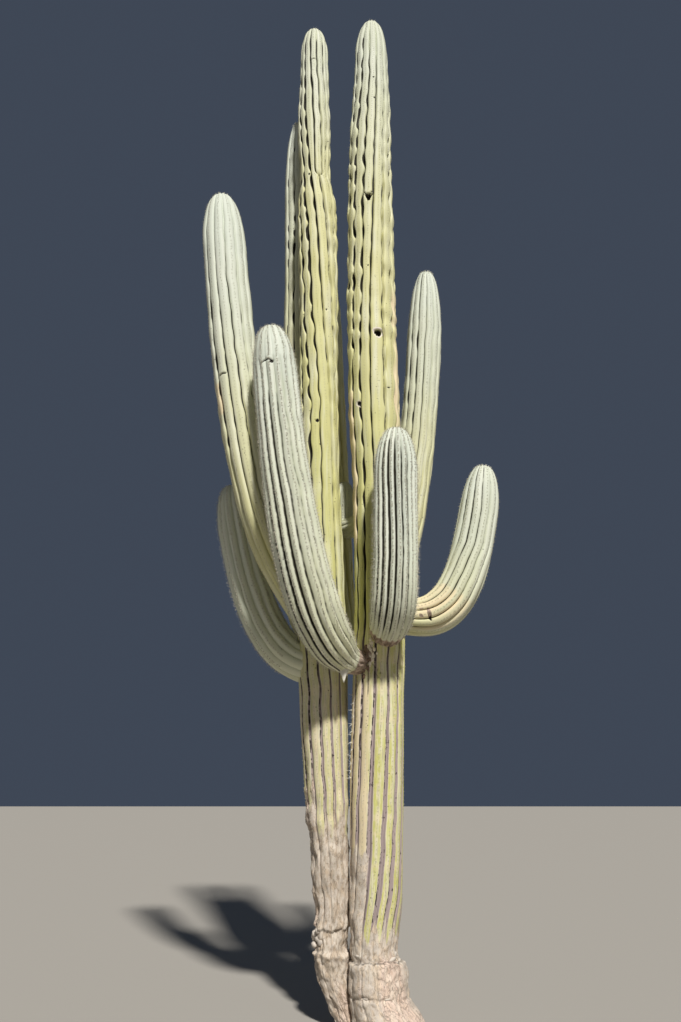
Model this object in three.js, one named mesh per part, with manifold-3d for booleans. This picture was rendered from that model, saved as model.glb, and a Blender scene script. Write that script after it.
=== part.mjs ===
// A saguaro cactus: two ribbed stems that spring from one root, and the arms that they carry.
// Millimetres, +Z up. The origin lies in the flat cut at ground level, under the right stem.
// +X is the viewer's right and -Y points at the viewer.
import * as THREE from "three";
import { mergeVertices } from "three/addons/utils/BufferGeometryUtils.js";
import Module from "manifold-3d";

const wasm = await Module();
wasm.setup();

// Driving dimensions
const CUT_GAP = 0.3; // air between an arm's lower and upper piece
const SEAT_GAP = 0.4; // air between an arm's foot and what carries it
const TIP_BLUNTNESS = 2.6; // 2 would make each tip half an ellipse, and more is blunter
const BEND_STEP = 10; // how finely an arm's bend is followed to find its middle

// The rings that a limb is drawn with
const STEM_ROW = 1100; // the most that a stem's rings stand apart
const ELBOW_ROW = 170; // how far an arm's rings stand apart up to the middle of its bend
const COLUMN_ROW = 600; // how far they stand apart above that, on the whole
const COLUMN_EASE = 1.35; // over 1, they stand closer near the bend than further up
const FEWEST_ROWS = 4; // on an arm's elbow, and on its column below the tip
const TIP_ROWS = [0.55, 0.25, 0.09, 0.02]; // rings on a tip, as shares of its length
const POINTS_ON_A_RIB = 3; // a groove and the two shoulders of a crest
const MOST_POINTS_AROUND = 40; // a limb with many fine ribs has only a groove and a crest for each
const MERGED_WITHIN = 0.001; // points this near each other are one

const STEM_GREEN = 0xc9c58e;
const ARM_GREEN = 0xc3cbb4;
const SHADED_GREEN = 0x9aa17c;

// Each stem: the height of its tip, the length over which the tip rounds off, how deep its ribs are as a
// share of the radius, and its build, which gives the axis and the radius over the crests at some heights.
const STEMS = {
  trunk_right: {
    top: 9860,
    tipLength: 520,
    ribs: 13,
    ribDepth: 0.13,
    build: [
      { height: 0, x: 80, y: 0, radius: 278 },
      { height: 90, x: 58, y: 0, radius: 258 },
      { height: 200, x: 12, y: 0, radius: 226 },
      { height: 430, x: -7, y: 0, radius: 215 },
      { height: 510, x: -28, y: 0, radius: 181 },
      { height: 850, x: -9, y: 0, radius: 199 },
      { height: 1570, x: 5, y: 0, radius: 211 },
      { height: 3100, x: 52, y: 0, radius: 217 },
      { height: 4200, x: 52, y: 0, radius: 219 },
      { height: 5000, x: 32, y: 0, radius: 236 },
      { height: 7290, x: 26, y: 0, radius: 229 },
      { height: 8600, x: 49, y: 0, radius: 207 },
      { height: 9200, x: 60, y: 0, radius: 181 },
      { height: 9860, x: 68, y: 0, radius: 170 },
    ],
  },
  trunk_left: {
    top: 9840,
    tipLength: 380,
    ribs: 12,
    ribDepth: 0.13,
    build: [
      { height: 0, x: -205, y: 85, radius: 95 },
      { height: 150, x: -268, y: 85, radius: 98 },
      { height: 300, x: -330, y: 88, radius: 114 },
      { height: 580, x: -348, y: 90, radius: 136 },
      { height: 760, x: -345, y: 85, radius: 128 },
      { height: 1435, x: -379, y: 80, radius: 165 },
      { height: 2350, x: -423, y: 80, radius: 203 },
      { height: 3400, x: -455, y: 80, radius: 212 },
      { height: 4300, x: -478, y: 80, radius: 190 },
      { height: 5800, x: -493, y: 80, radius: 188 },
      { height: 7350, x: -521, y: 80, radius: 197 },
      { height: 7720, x: -545, y: 80, radius: 160 },
      { height: 8400, x: -568, y: 80, radius: 176 },
      { height: 9180, x: -568, y: 80, radius: 155 },
      { height: 9840, x: -580, y: 80, radius: 146 },
    ],
  },
};

// Each arm: the four points that its axis is drawn through or towards, the radius where it leaves the stem,
// the full radius that it swells to, the radius at its crown, where the tip starts to round off, and the
// lengths of that swelling and of the tip. Root and tip lie on the axis. Elbow and shoulder pull it outwards
// and upwards, as the middle points of a cubic curve do. An arm that is whole has no bend worth a joint.
const ARMS = {
  arm_left_tall: {
    root: [-430, -40, 2900],
    elbow: [-880, -420, 3500],
    shoulder: [-1145, -385, 4020],
    tip: [-1460, -300, 7190],
    neck: 165,
    radius: 203,
    crown: 206,
    swelling: 1300,
    tipLength: 660,
    ribs: 12,
    ribDepth: 0.17,
  },
  arm_left_front: {
    root: [-90, -60, 2645],
    elbow: [-610, -850, 2480],
    shoulder: [-750, -750, 4240],
    tip: [-880, -750, 5415],
    neck: 150,
    radius: 208,
    crown: 186,
    swelling: 850,
    tipLength: 480,
    ribs: 17,
    ribDepth: 0.12,
  },
  arm_left_low: {
    root: [-420, 90, 2650],
    elbow: [-990, 165, 2590],
    shoulder: [-1175, 155, 3620],
    tip: [-1282, 150, 4300],
    neck: 172,
    radius: 174,
    crown: 176,
    swelling: 500,
    tipLength: 440,
    ribs: 12,
    ribDepth: 0.17,
  },
  arm_right_front: {
    root: [90, -60, 2880],
    elbow: [150, -745, 2925],
    shoulder: [155, -550, 3090],
    tip: [190, -580, 4535],
    neck: 140,
    radius: 180,
    crown: 179,
    swelling: 520,
    tipLength: 420,
    ribs: 19,
    ribDepth: 0.11,
  },
  arm_right: {
    root: [60, 0, 3060],
    elbow: [520, 0, 3020],
    shoulder: [815, 0, 2870],
    tip: [1022, 0, 4430],
    neck: 135,
    radius: 184,
    crown: 174,
    swelling: 600,
    tipLength: 500,
    ribs: 13,
    ribDepth: 0.16,
  },
  arm_right_rear: {
    root: [60, 60, 3100],
    elbow: [235, 640, 3560],
    shoulder: [510, 410, 4310],
    tip: [631, 450, 6845],
    neck: 130,
    radius: 177,
    crown: 173,
    swelling: 1100,
    tipLength: 850,
    ribs: 13,
    ribDepth: 0.16,
  },
  arm_rear_left: {
    root: [-450, 120, 3000],
    elbow: [-770, 700, 2800],
    shoulder: [-625, 455, 4485],
    tip: [-761, 500, 8920],
    neck: 140,
    radius: 171,
    crown: 164,
    swelling: 900,
    tipLength: 1150,
    ribs: 12,
    ribDepth: 0.16,
  },
  arm_rear_middle: {
    root: [30, 40, 2850],
    elbow: [-420, 820, 2650],
    shoulder: [-265, 585, 2910],
    tip: [-483, 620, 7080],
    neck: 135,
    radius: 173,
    crown: 170,
    swelling: 900,
    tipLength: 700,
    ribs: 12,
    ribDepth: 0.16,
  },
  arm_rear_bud: {
    root: [0, 20, 4000],
    elbow: [-370, 530, 3790],
    shoulder: [-217, 318, 4095],
    tip: [-247, 360, 4405],
    neck: 70,
    radius: 100,
    crown: 98,
    swelling: 420,
    tipLength: 220,
    ribs: 11,
    ribDepth: 0.14,
    whole: true,
  },
};

// 0 below 0, 1 above 1, and smooth between.
function smooth(share) {
  const t = Math.min(Math.max(share, 0), 1);
  return t * t * (3 - 2 * t);
}

// How full a limb is near its tip, from 0 at the tip to 1 where the tip's rounding begins.
function fullness(below, tipLength) {
  const share = Math.min(Math.max(below / tipLength, 0), 1);
  return Math.pow(1 - (1 - share) ** 2, 1 / TIP_BLUNTNESS);
}

// A value of the stem's build at a height: the stated values, joined by a smooth curve.
function builtTo(build, key, height) {
  let i = 0;
  while (i < build.length - 2 && height > build[i + 1].height) i += 1;
  const [a, b] = [build[i], build[i + 1]];
  const before = build[Math.max(i - 1, 0)];
  const after = build[Math.min(i + 2, build.length - 1)];
  const span = b.height - a.height;
  const slopeA = (b[key] - before[key]) / (b.height - before.height);
  const slopeB = (after[key] - a[key]) / (after.height - a.height);
  const t = (height - a.height) / span;
  return (
    a[key] * (1 + 2 * t) * (1 - t) ** 2 +
    slopeA * span * t * (1 - t) ** 2 +
    b[key] * t * t * (3 - 2 * t) +
    slopeB * span * t * t * (t - 1)
  );
}

// A stem as a limb: its length, its radius and its level sections.
function stemLimb(stem) {
  return {
    ...stem,
    length: stem.top,
    radiusAt: (height) =>
      builtTo(stem.build, "radius", height) * fullness(stem.top - height, stem.tipLength),
    sectionAt: (height) => ({
      centre: new THREE.Vector3(
        builtTo(stem.build, "x", height),
        builtTo(stem.build, "y", height),
        height,
      ),
      across: new THREE.Vector3(1, 0, 0),
      along: new THREE.Vector3(0, 1, 0),
    }),
  };
}

// An arm as a limb: sections square to its axis, with ribs that keep their side all the way up.
function armLimb(arm) {
  const [root, elbow, shoulder, tip] = [arm.root, arm.elbow, arm.shoulder, arm.tip].map(
    (place) => new THREE.Vector3(...place),
  );
  const axis = new THREE.CubicBezierCurve3(root, elbow, shoulder, tip);
  const length = axis.getLength();
  const outwards = new THREE.Vector3().subVectors(tip, root).setZ(0).normalize();
  const sideways = new THREE.Vector3(-outwards.y, outwards.x, 0);
  return {
    ...arm,
    length,
    radiusAt: (distance) =>
      (arm.neck +
        (arm.radius - arm.neck) * smooth(distance / arm.swelling) +
        (arm.crown - arm.radius) *
          smooth((distance - arm.swelling) / (length - arm.tipLength - arm.swelling))) *
      fullness(length - distance, arm.tipLength),
    sectionAt: (distance) => {
      const share = Math.min(Math.max(distance / length, 0), 1);
      const direction = axis.getTangentAt(share);
      const across = sideways.clone().addScaledVector(direction, -sideways.dot(direction)).normalize();
      const along = new THREE.Vector3().crossVectors(direction, across);
      return { centre: axis.getPointAt(share), across, along };
    },
    directionAt: (distance) => axis.getTangentAt(distance / length),
  };
}

// The distance along an arm at which half of its bend is behind it.
function middleOfBend(limb) {
  const start = limb.directionAt(0);
  const wholeTurn = start.angleTo(limb.directionAt(limb.length - limb.tipLength));
  let distance = 0;
  while (start.angleTo(limb.directionAt(distance)) < wholeTurn / 2) distance += BEND_STEP;
  return distance;
}

// How far a limb's skin stands out at one of the points round it, as a share of the radius over its crests.
function ribAt(limb, pointIndex, pointsOnARib) {
  return pointIndex % pointsOnARib === 0 ? 1 - limb.ribDepth : 1;
}

// Heights or distances from one to another, about a row apart, closer at the start where ease is over 1.
function evenStops(from, to, row, ease = 1) {
  const count = Math.max(FEWEST_ROWS, Math.ceil((to - from) / row));
  return Array.from({ length: count + 1 }, (_, i) => from + (to - from) * (i / count) ** ease);
}

// Where a stem's rings lie: at each height of its build, and between those where they are far apart.
function stemStops(limb) {
  const heights = limb.build.map((b) => b.height).filter((h) => h < limb.length - limb.tipLength);
  heights.push(limb.length - limb.tipLength);
  return heights.flatMap((h, i) => {
    const next = heights[i + 1] ?? h;
    const parts = Math.max(1, Math.ceil((next - h) / STEM_ROW));
    return Array.from({ length: parts }, (_, k) => h + ((next - h) * k) / parts);
  });
}

function tipStops(limb) {
  return TIP_ROWS.map((share) => limb.length - share * limb.tipLength);
}

// A closed stretch of a limb with a ring at each stop. A turned body gives the rings and the ends, and every
// point is then moved out to the limb's axis, with the ribs pressed in. swell makes it a little fatter all
// round, for use as a cutter.
function stretch(limb, rings, swell = 0) {
  const last = rings[rings.length - 1];
  const reachesTip = last > limb.length - limb.tipLength;
  const profile = [new THREE.Vector2(0, rings[0])];
  for (const stop of rings) profile.push(new THREE.Vector2(limb.radiusAt(stop) + swell, stop));
  profile.push(new THREE.Vector2(0, reachesTip ? limb.length : last));

  const pointsOnARib = limb.ribs * POINTS_ON_A_RIB > MOST_POINTS_AROUND ? 2 : POINTS_ON_A_RIB;
  const around = limb.ribs * pointsOnARib;
  const turned = new THREE.LatheGeometry(profile, around);
  const points = turned.getAttribute("position");
  const p = new THREE.Vector3();
  for (let i = 0; i < points.count; i += 1) {
    p.fromBufferAttribute(points, i);
    const radius = Math.hypot(p.x, p.z);
    const index = Math.round((Math.atan2(p.x, p.z) / (2 * Math.PI)) * around + around) % around;
    const angle = (index / around) * 2 * Math.PI;
    const reach = radius * ribAt(limb, index, pointsOnARib);
    const { centre, across, along } = limb.sectionAt(p.y);
    centre.addScaledVector(across, reach * Math.cos(angle)).addScaledVector(along, reach * Math.sin(angle));
    points.setXYZ(i, centre.x, centre.y, centre.z);
  }
  return turned;
}

// A solid that can be cut, from a closed geometry.
function solidFrom(geometry) {
  geometry.deleteAttribute("normal");
  geometry.deleteAttribute("uv");
  const merged = mergeVertices(geometry, MERGED_WITHIN);
  return new wasm.Manifold(
    new wasm.Mesh({
      numProp: 3,
      vertProperties: merged.getAttribute("position").array,
      triVerts: new Uint32Array(merged.index.array),
    }),
  );
}

// The geometry of a solid.
function geometryFrom(solid) {
  const { vertProperties, triVerts } = solid.getMesh();
  const geometry = new THREE.BufferGeometry();
  geometry.setAttribute("position", new THREE.BufferAttribute(vertProperties, 3));
  geometry.setIndex(new THREE.BufferAttribute(triVerts, 1));
  geometry.computeVertexNormals();
  return geometry;
}

const saguaro = new THREE.Group();

function addPiece(name, solid, colour) {
  const material = new THREE.MeshStandardMaterial({ color: colour, roughness: 0.75, metalness: 0 });
  const mesh = new THREE.Mesh(geometryFrom(solid), material);
  mesh.name = name;
  saguaro.add(mesh);
}

// What has been placed so far, a little fatter than it is, to cut what comes after it. So the left stem's
// foot springs from the right stem's flare, and an arm starts at the skin of the stem that carries it.
const placed = [];

// A piece cut clear of what is placed. Crumbs that the cut leaves are dropped.
function clearOfPlaced(solid) {
  const bodies = placed.reduce((rest, cutter) => rest.subtract(cutter), solid).decompose();
  return bodies.reduce((main, body) => (body.volume() > main.volume() ? body : main));
}

for (const [name, stem] of Object.entries(STEMS)) {
  const limb = stemLimb(stem);
  const rings = [...stemStops(limb), ...tipStops(limb)];
  addPiece(name, clearOfPlaced(solidFrom(stretch(limb, rings))), STEM_GREEN);
  placed.push(solidFrom(stretch(limb, rings, SEAT_GAP)));
}

for (const [name, arm] of Object.entries(ARMS)) {
  const limb = armLimb(arm);
  const colour = name.includes("rear") ? SHADED_GREEN : ARM_GREEN;
  const tipStarts = limb.length - limb.tipLength;
  if (arm.whole) {
    const rings = [...evenStops(0, tipStarts, ELBOW_ROW), ...tipStops(limb)];
    addPiece(name, clearOfPlaced(solidFrom(stretch(limb, rings))), colour);
    continue;
  }
  const split = middleOfBend(limb);
  const lowerRings = evenStops(0, split - CUT_GAP / 2, ELBOW_ROW);
  const upperRings = [
    ...evenStops(split + CUT_GAP / 2, tipStarts, COLUMN_ROW, COLUMN_EASE),
    ...tipStops(limb),
  ];
  addPiece(`${name}_elbow`, clearOfPlaced(solidFrom(stretch(limb, lowerRings))), colour);
  addPiece(`${name}_column`, clearOfPlaced(solidFrom(stretch(limb, upperRings))), colour);
  placed.push(solidFrom(stretch(limb, [...lowerRings, ...upperRings], SEAT_GAP)));
}

export default saguaro;
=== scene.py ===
# %% [markdown]
# # A saguaro with two stems
# This plant grows as two ribbed stems from one root, and it carries nine arms. A imported model holds each
# limb as plain faceted solids. This script dresses it: every limb gets a skin with its real ribs, knots and
# scars, a finish that is worked out by nodes, and then its felt pads and spines.
#
# The frame comes first. It loads the solids in metres, with +Z up and the origin in the flat cut at ground
# level.

# %% Load the frame
import math

import bpy
import numpy as np
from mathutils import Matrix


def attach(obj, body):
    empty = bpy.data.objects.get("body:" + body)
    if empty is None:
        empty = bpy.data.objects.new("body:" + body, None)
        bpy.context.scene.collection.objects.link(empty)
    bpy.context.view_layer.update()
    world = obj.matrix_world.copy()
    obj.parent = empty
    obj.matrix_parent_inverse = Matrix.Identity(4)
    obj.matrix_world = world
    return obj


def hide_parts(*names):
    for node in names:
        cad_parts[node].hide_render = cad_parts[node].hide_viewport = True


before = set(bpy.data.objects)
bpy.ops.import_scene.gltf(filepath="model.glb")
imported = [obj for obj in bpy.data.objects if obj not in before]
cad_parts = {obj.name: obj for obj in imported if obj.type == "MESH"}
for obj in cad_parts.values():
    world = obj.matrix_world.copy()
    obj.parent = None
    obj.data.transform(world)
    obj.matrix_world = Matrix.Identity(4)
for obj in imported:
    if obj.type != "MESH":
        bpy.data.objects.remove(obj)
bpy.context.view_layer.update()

# %% [markdown]
# ## How a limb grows
# A saguaro's limb is a thick column with a blunt tip. Two small rules cover all of them: one that eases from
# 0 to 1, for anything that swells or fades, and one that rounds a tip off. The tip rule is an ellipse with a
# power a little over 2, because these tips are blunter than half an ellipse. What changes along a limb is
# written as a short list of distances and values, and a third helper reads such a list off anywhere.

# %% Two rules of growth, and lists read off
TIP_BLUNTNESS = 2.6


def eased(share):
    """0 below 0, 1 above 1, and smooth between."""
    t = np.clip(share, 0, 1)
    return t * t * (3 - 2 * t)


def fullness(below, tip_length):
    """How full a limb is near its tip: 0 at the tip, and 1 where the rounding begins."""
    share = np.clip(below / tip_length, 0, 1)
    return (1 - (1 - share) ** 2) ** (1 / TIP_BLUNTNESS)


def read_off(table, distance):
    """A value that is listed at a few distances, read off between them."""
    return np.interp(distance, *zip(*table))


print("fullness a tenth of the way down a tip:", round(float(fullness(0.1, 1.0)), 3))

# %% [markdown]
# ## The stems
# A stem isn't a cylinder. It narrows where it was hurt or short of water and swells between. So its build is
# a short list of heights, each with the place of the axis and the radius over the crests, and a smooth curve
# joins them. The sections stay level, because the stems lean very little. Where an old wound has healed, a
# stem is rough, and such places are noted here too.

# %% The build of the two stems
STEMS = {
    "trunk_right": {
        "length": 9.86,
        "tip_length": 0.52,
        "ribs": 13,
        "rough": [(2.68, -116, 0.1, 0.09)],  # distance, bearing, half height and half width of a lumpy place
        "build": [  # height, x, y, radius
            (0, 0.080, 0, 0.278),
            (0.09, 0.058, 0, 0.258),
            (0.2, 0.012, 0, 0.226),
            (0.43, -0.007, 0, 0.215),
            (0.51, -0.028, 0, 0.181),
            (0.85, -0.009, 0, 0.199),
            (1.57, 0.005, 0, 0.211),
            (3.1, 0.052, 0, 0.217),
            (4.2, 0.052, 0, 0.219),
            (5.0, 0.032, 0, 0.236),
            (7.29, 0.026, 0, 0.229),
            (8.6, 0.049, 0, 0.207),
            (9.2, 0.060, 0, 0.181),
            (9.86, 0.068, 0, 0.170),
        ],
    },
    "trunk_left": {
        "length": 9.84,
        "tip_length": 0.38,
        "ribs": 12,
        "rough": [(0.58, -150, 0.12, 0.12), (0.44, -120, 0.1, 0.1)],
        "build": [
            (0, -0.205, 0.085, 0.095),
            (0.15, -0.268, 0.085, 0.098),
            (0.3, -0.330, 0.088, 0.114),
            (0.58, -0.348, 0.090, 0.136),
            (0.76, -0.345, 0.085, 0.128),
            (1.435, -0.379, 0.080, 0.165),
            (2.35, -0.423, 0.080, 0.203),
            (3.4, -0.455, 0.080, 0.212),
            (4.3, -0.478, 0.080, 0.190),
            (5.8, -0.493, 0.080, 0.188),
            (7.35, -0.521, 0.080, 0.197),
            (7.72, -0.545, 0.080, 0.160),
            (8.4, -0.568, 0.080, 0.176),
            (9.18, -0.568, 0.080, 0.155),
            (9.84, -0.580, 0.080, 0.146),
        ],
    },
}


def built_to(build, column, height):
    """One column of a stem's build at some heights, along a smooth curve through the stated values."""
    rows = np.array(build)
    at, value = rows[:, 0], rows[:, column]
    slope = np.empty_like(value)
    slope[1:-1] = (value[2:] - value[:-2]) / (at[2:] - at[:-2])
    slope[0] = (value[1] - value[0]) / (at[1] - at[0])
    slope[-1] = (value[-1] - value[-2]) / (at[-1] - at[-2])
    i = np.clip(np.searchsorted(at, height) - 1, 0, len(at) - 2)
    span = at[i + 1] - at[i]
    t = (height - at[i]) / span
    return (
        value[i] * (1 + 2 * t) * (1 - t) ** 2
        + slope[i] * span * t * (1 - t) ** 2
        + value[i + 1] * t * t * (3 - 2 * t)
        + slope[i + 1] * span * t * t * (t - 1)
    )


def stem_sections(stem, height):
    """The centres, radii and two side directions of a stem's level sections."""
    x, y, radius = (built_to(stem["build"], column, height) for column in (1, 2, 3))
    centre = np.stack([x, y, height], axis=-1)
    across = np.broadcast_to([1.0, 0.0, 0.0], centre.shape)
    along = np.broadcast_to([0.0, 1.0, 0.0], centre.shape)
    return centre, radius, across, along


for name, stem in STEMS.items():
    thickest = 2 * float(built_to(stem["build"], 3, np.linspace(1, 9, 200)).max())
    print(name, "is up to", round(thickest, 3), "m thick")

# %% [markdown]
# ## The arms
# An arm leaves its stem sideways, bends up and then grows straight. One cubic curve per arm gives that line:
# its root and tip lie on the axis, and the two points between pull it outwards and upwards. The arm swells
# from a narrow neck to its full radius. Its sections are square to the curve, and they don't twist, so a rib
# stays on its side of the arm all the way up. The lowest arm at the front was hurt at its root, so a list
# there says how far it is pinched.

# %% The course and the girth of the nine arms
ARMS = {
    "arm_left_tall": {
        "course": [(-0.43, -0.04, 2.9), (-0.88, -0.42, 3.5), (-1.145, -0.385, 4.02), (-1.46, -0.3, 7.19)],
        "girth": (0.165, 0.203, 0.206, 1.3),  # radius at neck, shoulder and crown, and how long it swells
        "tip_length": 0.66,
        "ribs": 12,
        "carrier": "trunk_left",
    },
    "arm_left_front": {
        "course": [(-0.09, -0.06, 2.645), (-0.61, -0.85, 2.48), (-0.75, -0.75, 4.24), (-0.88, -0.75, 5.415)],
        "girth": (0.15, 0.208, 0.186, 0.85),
        "pinched": [(0.1, 0.68), (0.22, 0.74), (0.42, 0.97), (0.5, 1)],  # share of the radius that is left
        "rough": [(0.27, -60, 0.1, 0.12), (0.22, -20, 0.1, 0.12)],
        "tip_length": 0.48,
        "ribs": 17,
        "carrier": "trunk_right",
    },
    "arm_left_low": {
        "course": [(-0.42, 0.09, 2.65), (-0.99, 0.165, 2.59), (-1.175, 0.155, 3.62), (-1.282, 0.15, 4.3)],
        "girth": (0.172, 0.174, 0.176, 0.5),
        "tip_length": 0.44,
        "ribs": 12,
        "carrier": "trunk_left",
    },
    "arm_right_front": {
        "course": [(0.09, -0.06, 2.88), (0.15, -0.745, 2.925), (0.155, -0.55, 3.09), (0.19, -0.58, 4.535)],
        "girth": (0.14, 0.18, 0.179, 0.52),
        "tip_length": 0.42,
        "ribs": 19,
        "carrier": "trunk_right",
    },
    "arm_right": {
        "course": [(0.06, 0, 3.06), (0.52, 0, 3.02), (0.815, 0, 2.87), (1.022, 0, 4.43)],
        "girth": (0.135, 0.184, 0.174, 0.6),
        "tip_length": 0.5,
        "ribs": 13,
        "carrier": "trunk_right",
    },
    "arm_right_rear": {
        "course": [(0.06, 0.06, 3.1), (0.235, 0.64, 3.56), (0.51, 0.41, 4.31), (0.631, 0.45, 6.845)],
        "girth": (0.13, 0.177, 0.173, 1.1),
        "tip_length": 0.85,
        "ribs": 13,
        "carrier": "trunk_right",
    },
    "arm_rear_left": {
        "course": [(-0.45, 0.12, 3.0), (-0.77, 0.7, 2.8), (-0.625, 0.455, 4.485), (-0.761, 0.5, 8.92)],
        "girth": (0.14, 0.171, 0.164, 0.9),
        "tip_length": 1.15,
        "ribs": 12,
        "carrier": "trunk_left",
    },
    "arm_rear_middle": {
        "course": [(0.03, 0.04, 2.85), (-0.42, 0.82, 2.65), (-0.265, 0.585, 2.91), (-0.483, 0.62, 7.08)],
        "girth": (0.135, 0.173, 0.17, 0.9),
        "tip_length": 0.7,
        "ribs": 12,
        "carrier": "trunk_right",
    },
    "arm_rear_bud": {
        "course": [(0, 0.02, 4.0), (-0.37, 0.53, 3.79), (-0.217, 0.318, 4.095), (-0.247, 0.36, 4.405)],
        "girth": (0.07, 0.1, 0.098, 0.42),
        "tip_length": 0.22,
        "ribs": 11,
        "carrier": "trunk_right",
    },
}
COURSE_POINTS = 3001  # how finely a course is measured along


def lay_course(arm):
    """Measures an arm's cubic curve, so that places on it can be asked for by distance from its root."""
    root, elbow, shoulder, tip = (np.array(place, float) for place in arm["course"])
    t = np.linspace(0, 1, COURSE_POINTS)[:, None]
    line = root * (1 - t) ** 3 + 3 * elbow * t * (1 - t) ** 2 + 3 * shoulder * t * t * (1 - t) + tip * t**3
    heading = (elbow - root) * (1 - t) ** 2 + 2 * (shoulder - elbow) * t * (1 - t) + (tip - shoulder) * t * t
    steps = np.linalg.norm(np.diff(line, axis=0), axis=1)
    arm["line"] = line
    arm["heading"] = heading / np.linalg.norm(heading, axis=1, keepdims=True)
    arm["measured"] = np.concatenate([[0], np.cumsum(steps)])
    arm["length"] = float(arm["measured"][-1])
    outwards = (tip - root) * (1, 1, 0)
    outwards /= np.linalg.norm(outwards)
    arm["sideways"] = np.array([-outwards[1], outwards[0], 0])


def arm_sections(arm, distance):
    """The centres, radii and two side directions of an arm's sections, which are square to its course."""
    centre, heading = (
        np.stack([np.interp(distance, arm["measured"], arm[key][:, k]) for k in range(3)], axis=-1)
        for key in ("line", "heading")
    )
    across = arm["sideways"] - heading * (heading @ arm["sideways"])[:, None]
    across /= np.linalg.norm(across, axis=1, keepdims=True)
    neck, full, crown, swelling = arm["girth"]
    straight = arm["length"] - arm["tip_length"] - swelling
    radius = neck + (full - neck) * eased(distance / swelling)
    radius += (crown - full) * eased((distance - swelling) / straight)
    radius *= read_off(arm.get("pinched", [(0, 1)]), distance)
    return centre, radius, across, np.cross(heading, across)


for name, arm in ARMS.items():
    lay_course(arm)
    print(name, "is", round(arm["length"], 2), "m long")

# %% [markdown]
# ## Where the grooves run
# Every rib has its own width, and the grooves between them wander. Real ribs drift round a stem as it grows,
# so one groove per limb is given as a few bearings round the limb, in degrees, and the others follow it. On
# the left stem a new rib starts at 7.67 m: it's the same as a rib of almost no width that then opens out.
#
# Each list below gives a value at some distances along its limb. The widths are those of single ribs. The
# depth of a groove is a share of the radius, and its floor a share of the rib's width. The squareness is the
# power of a rib's arch, and the knots say how strongly old ribs bead. On the calm side they hardly do.

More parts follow.
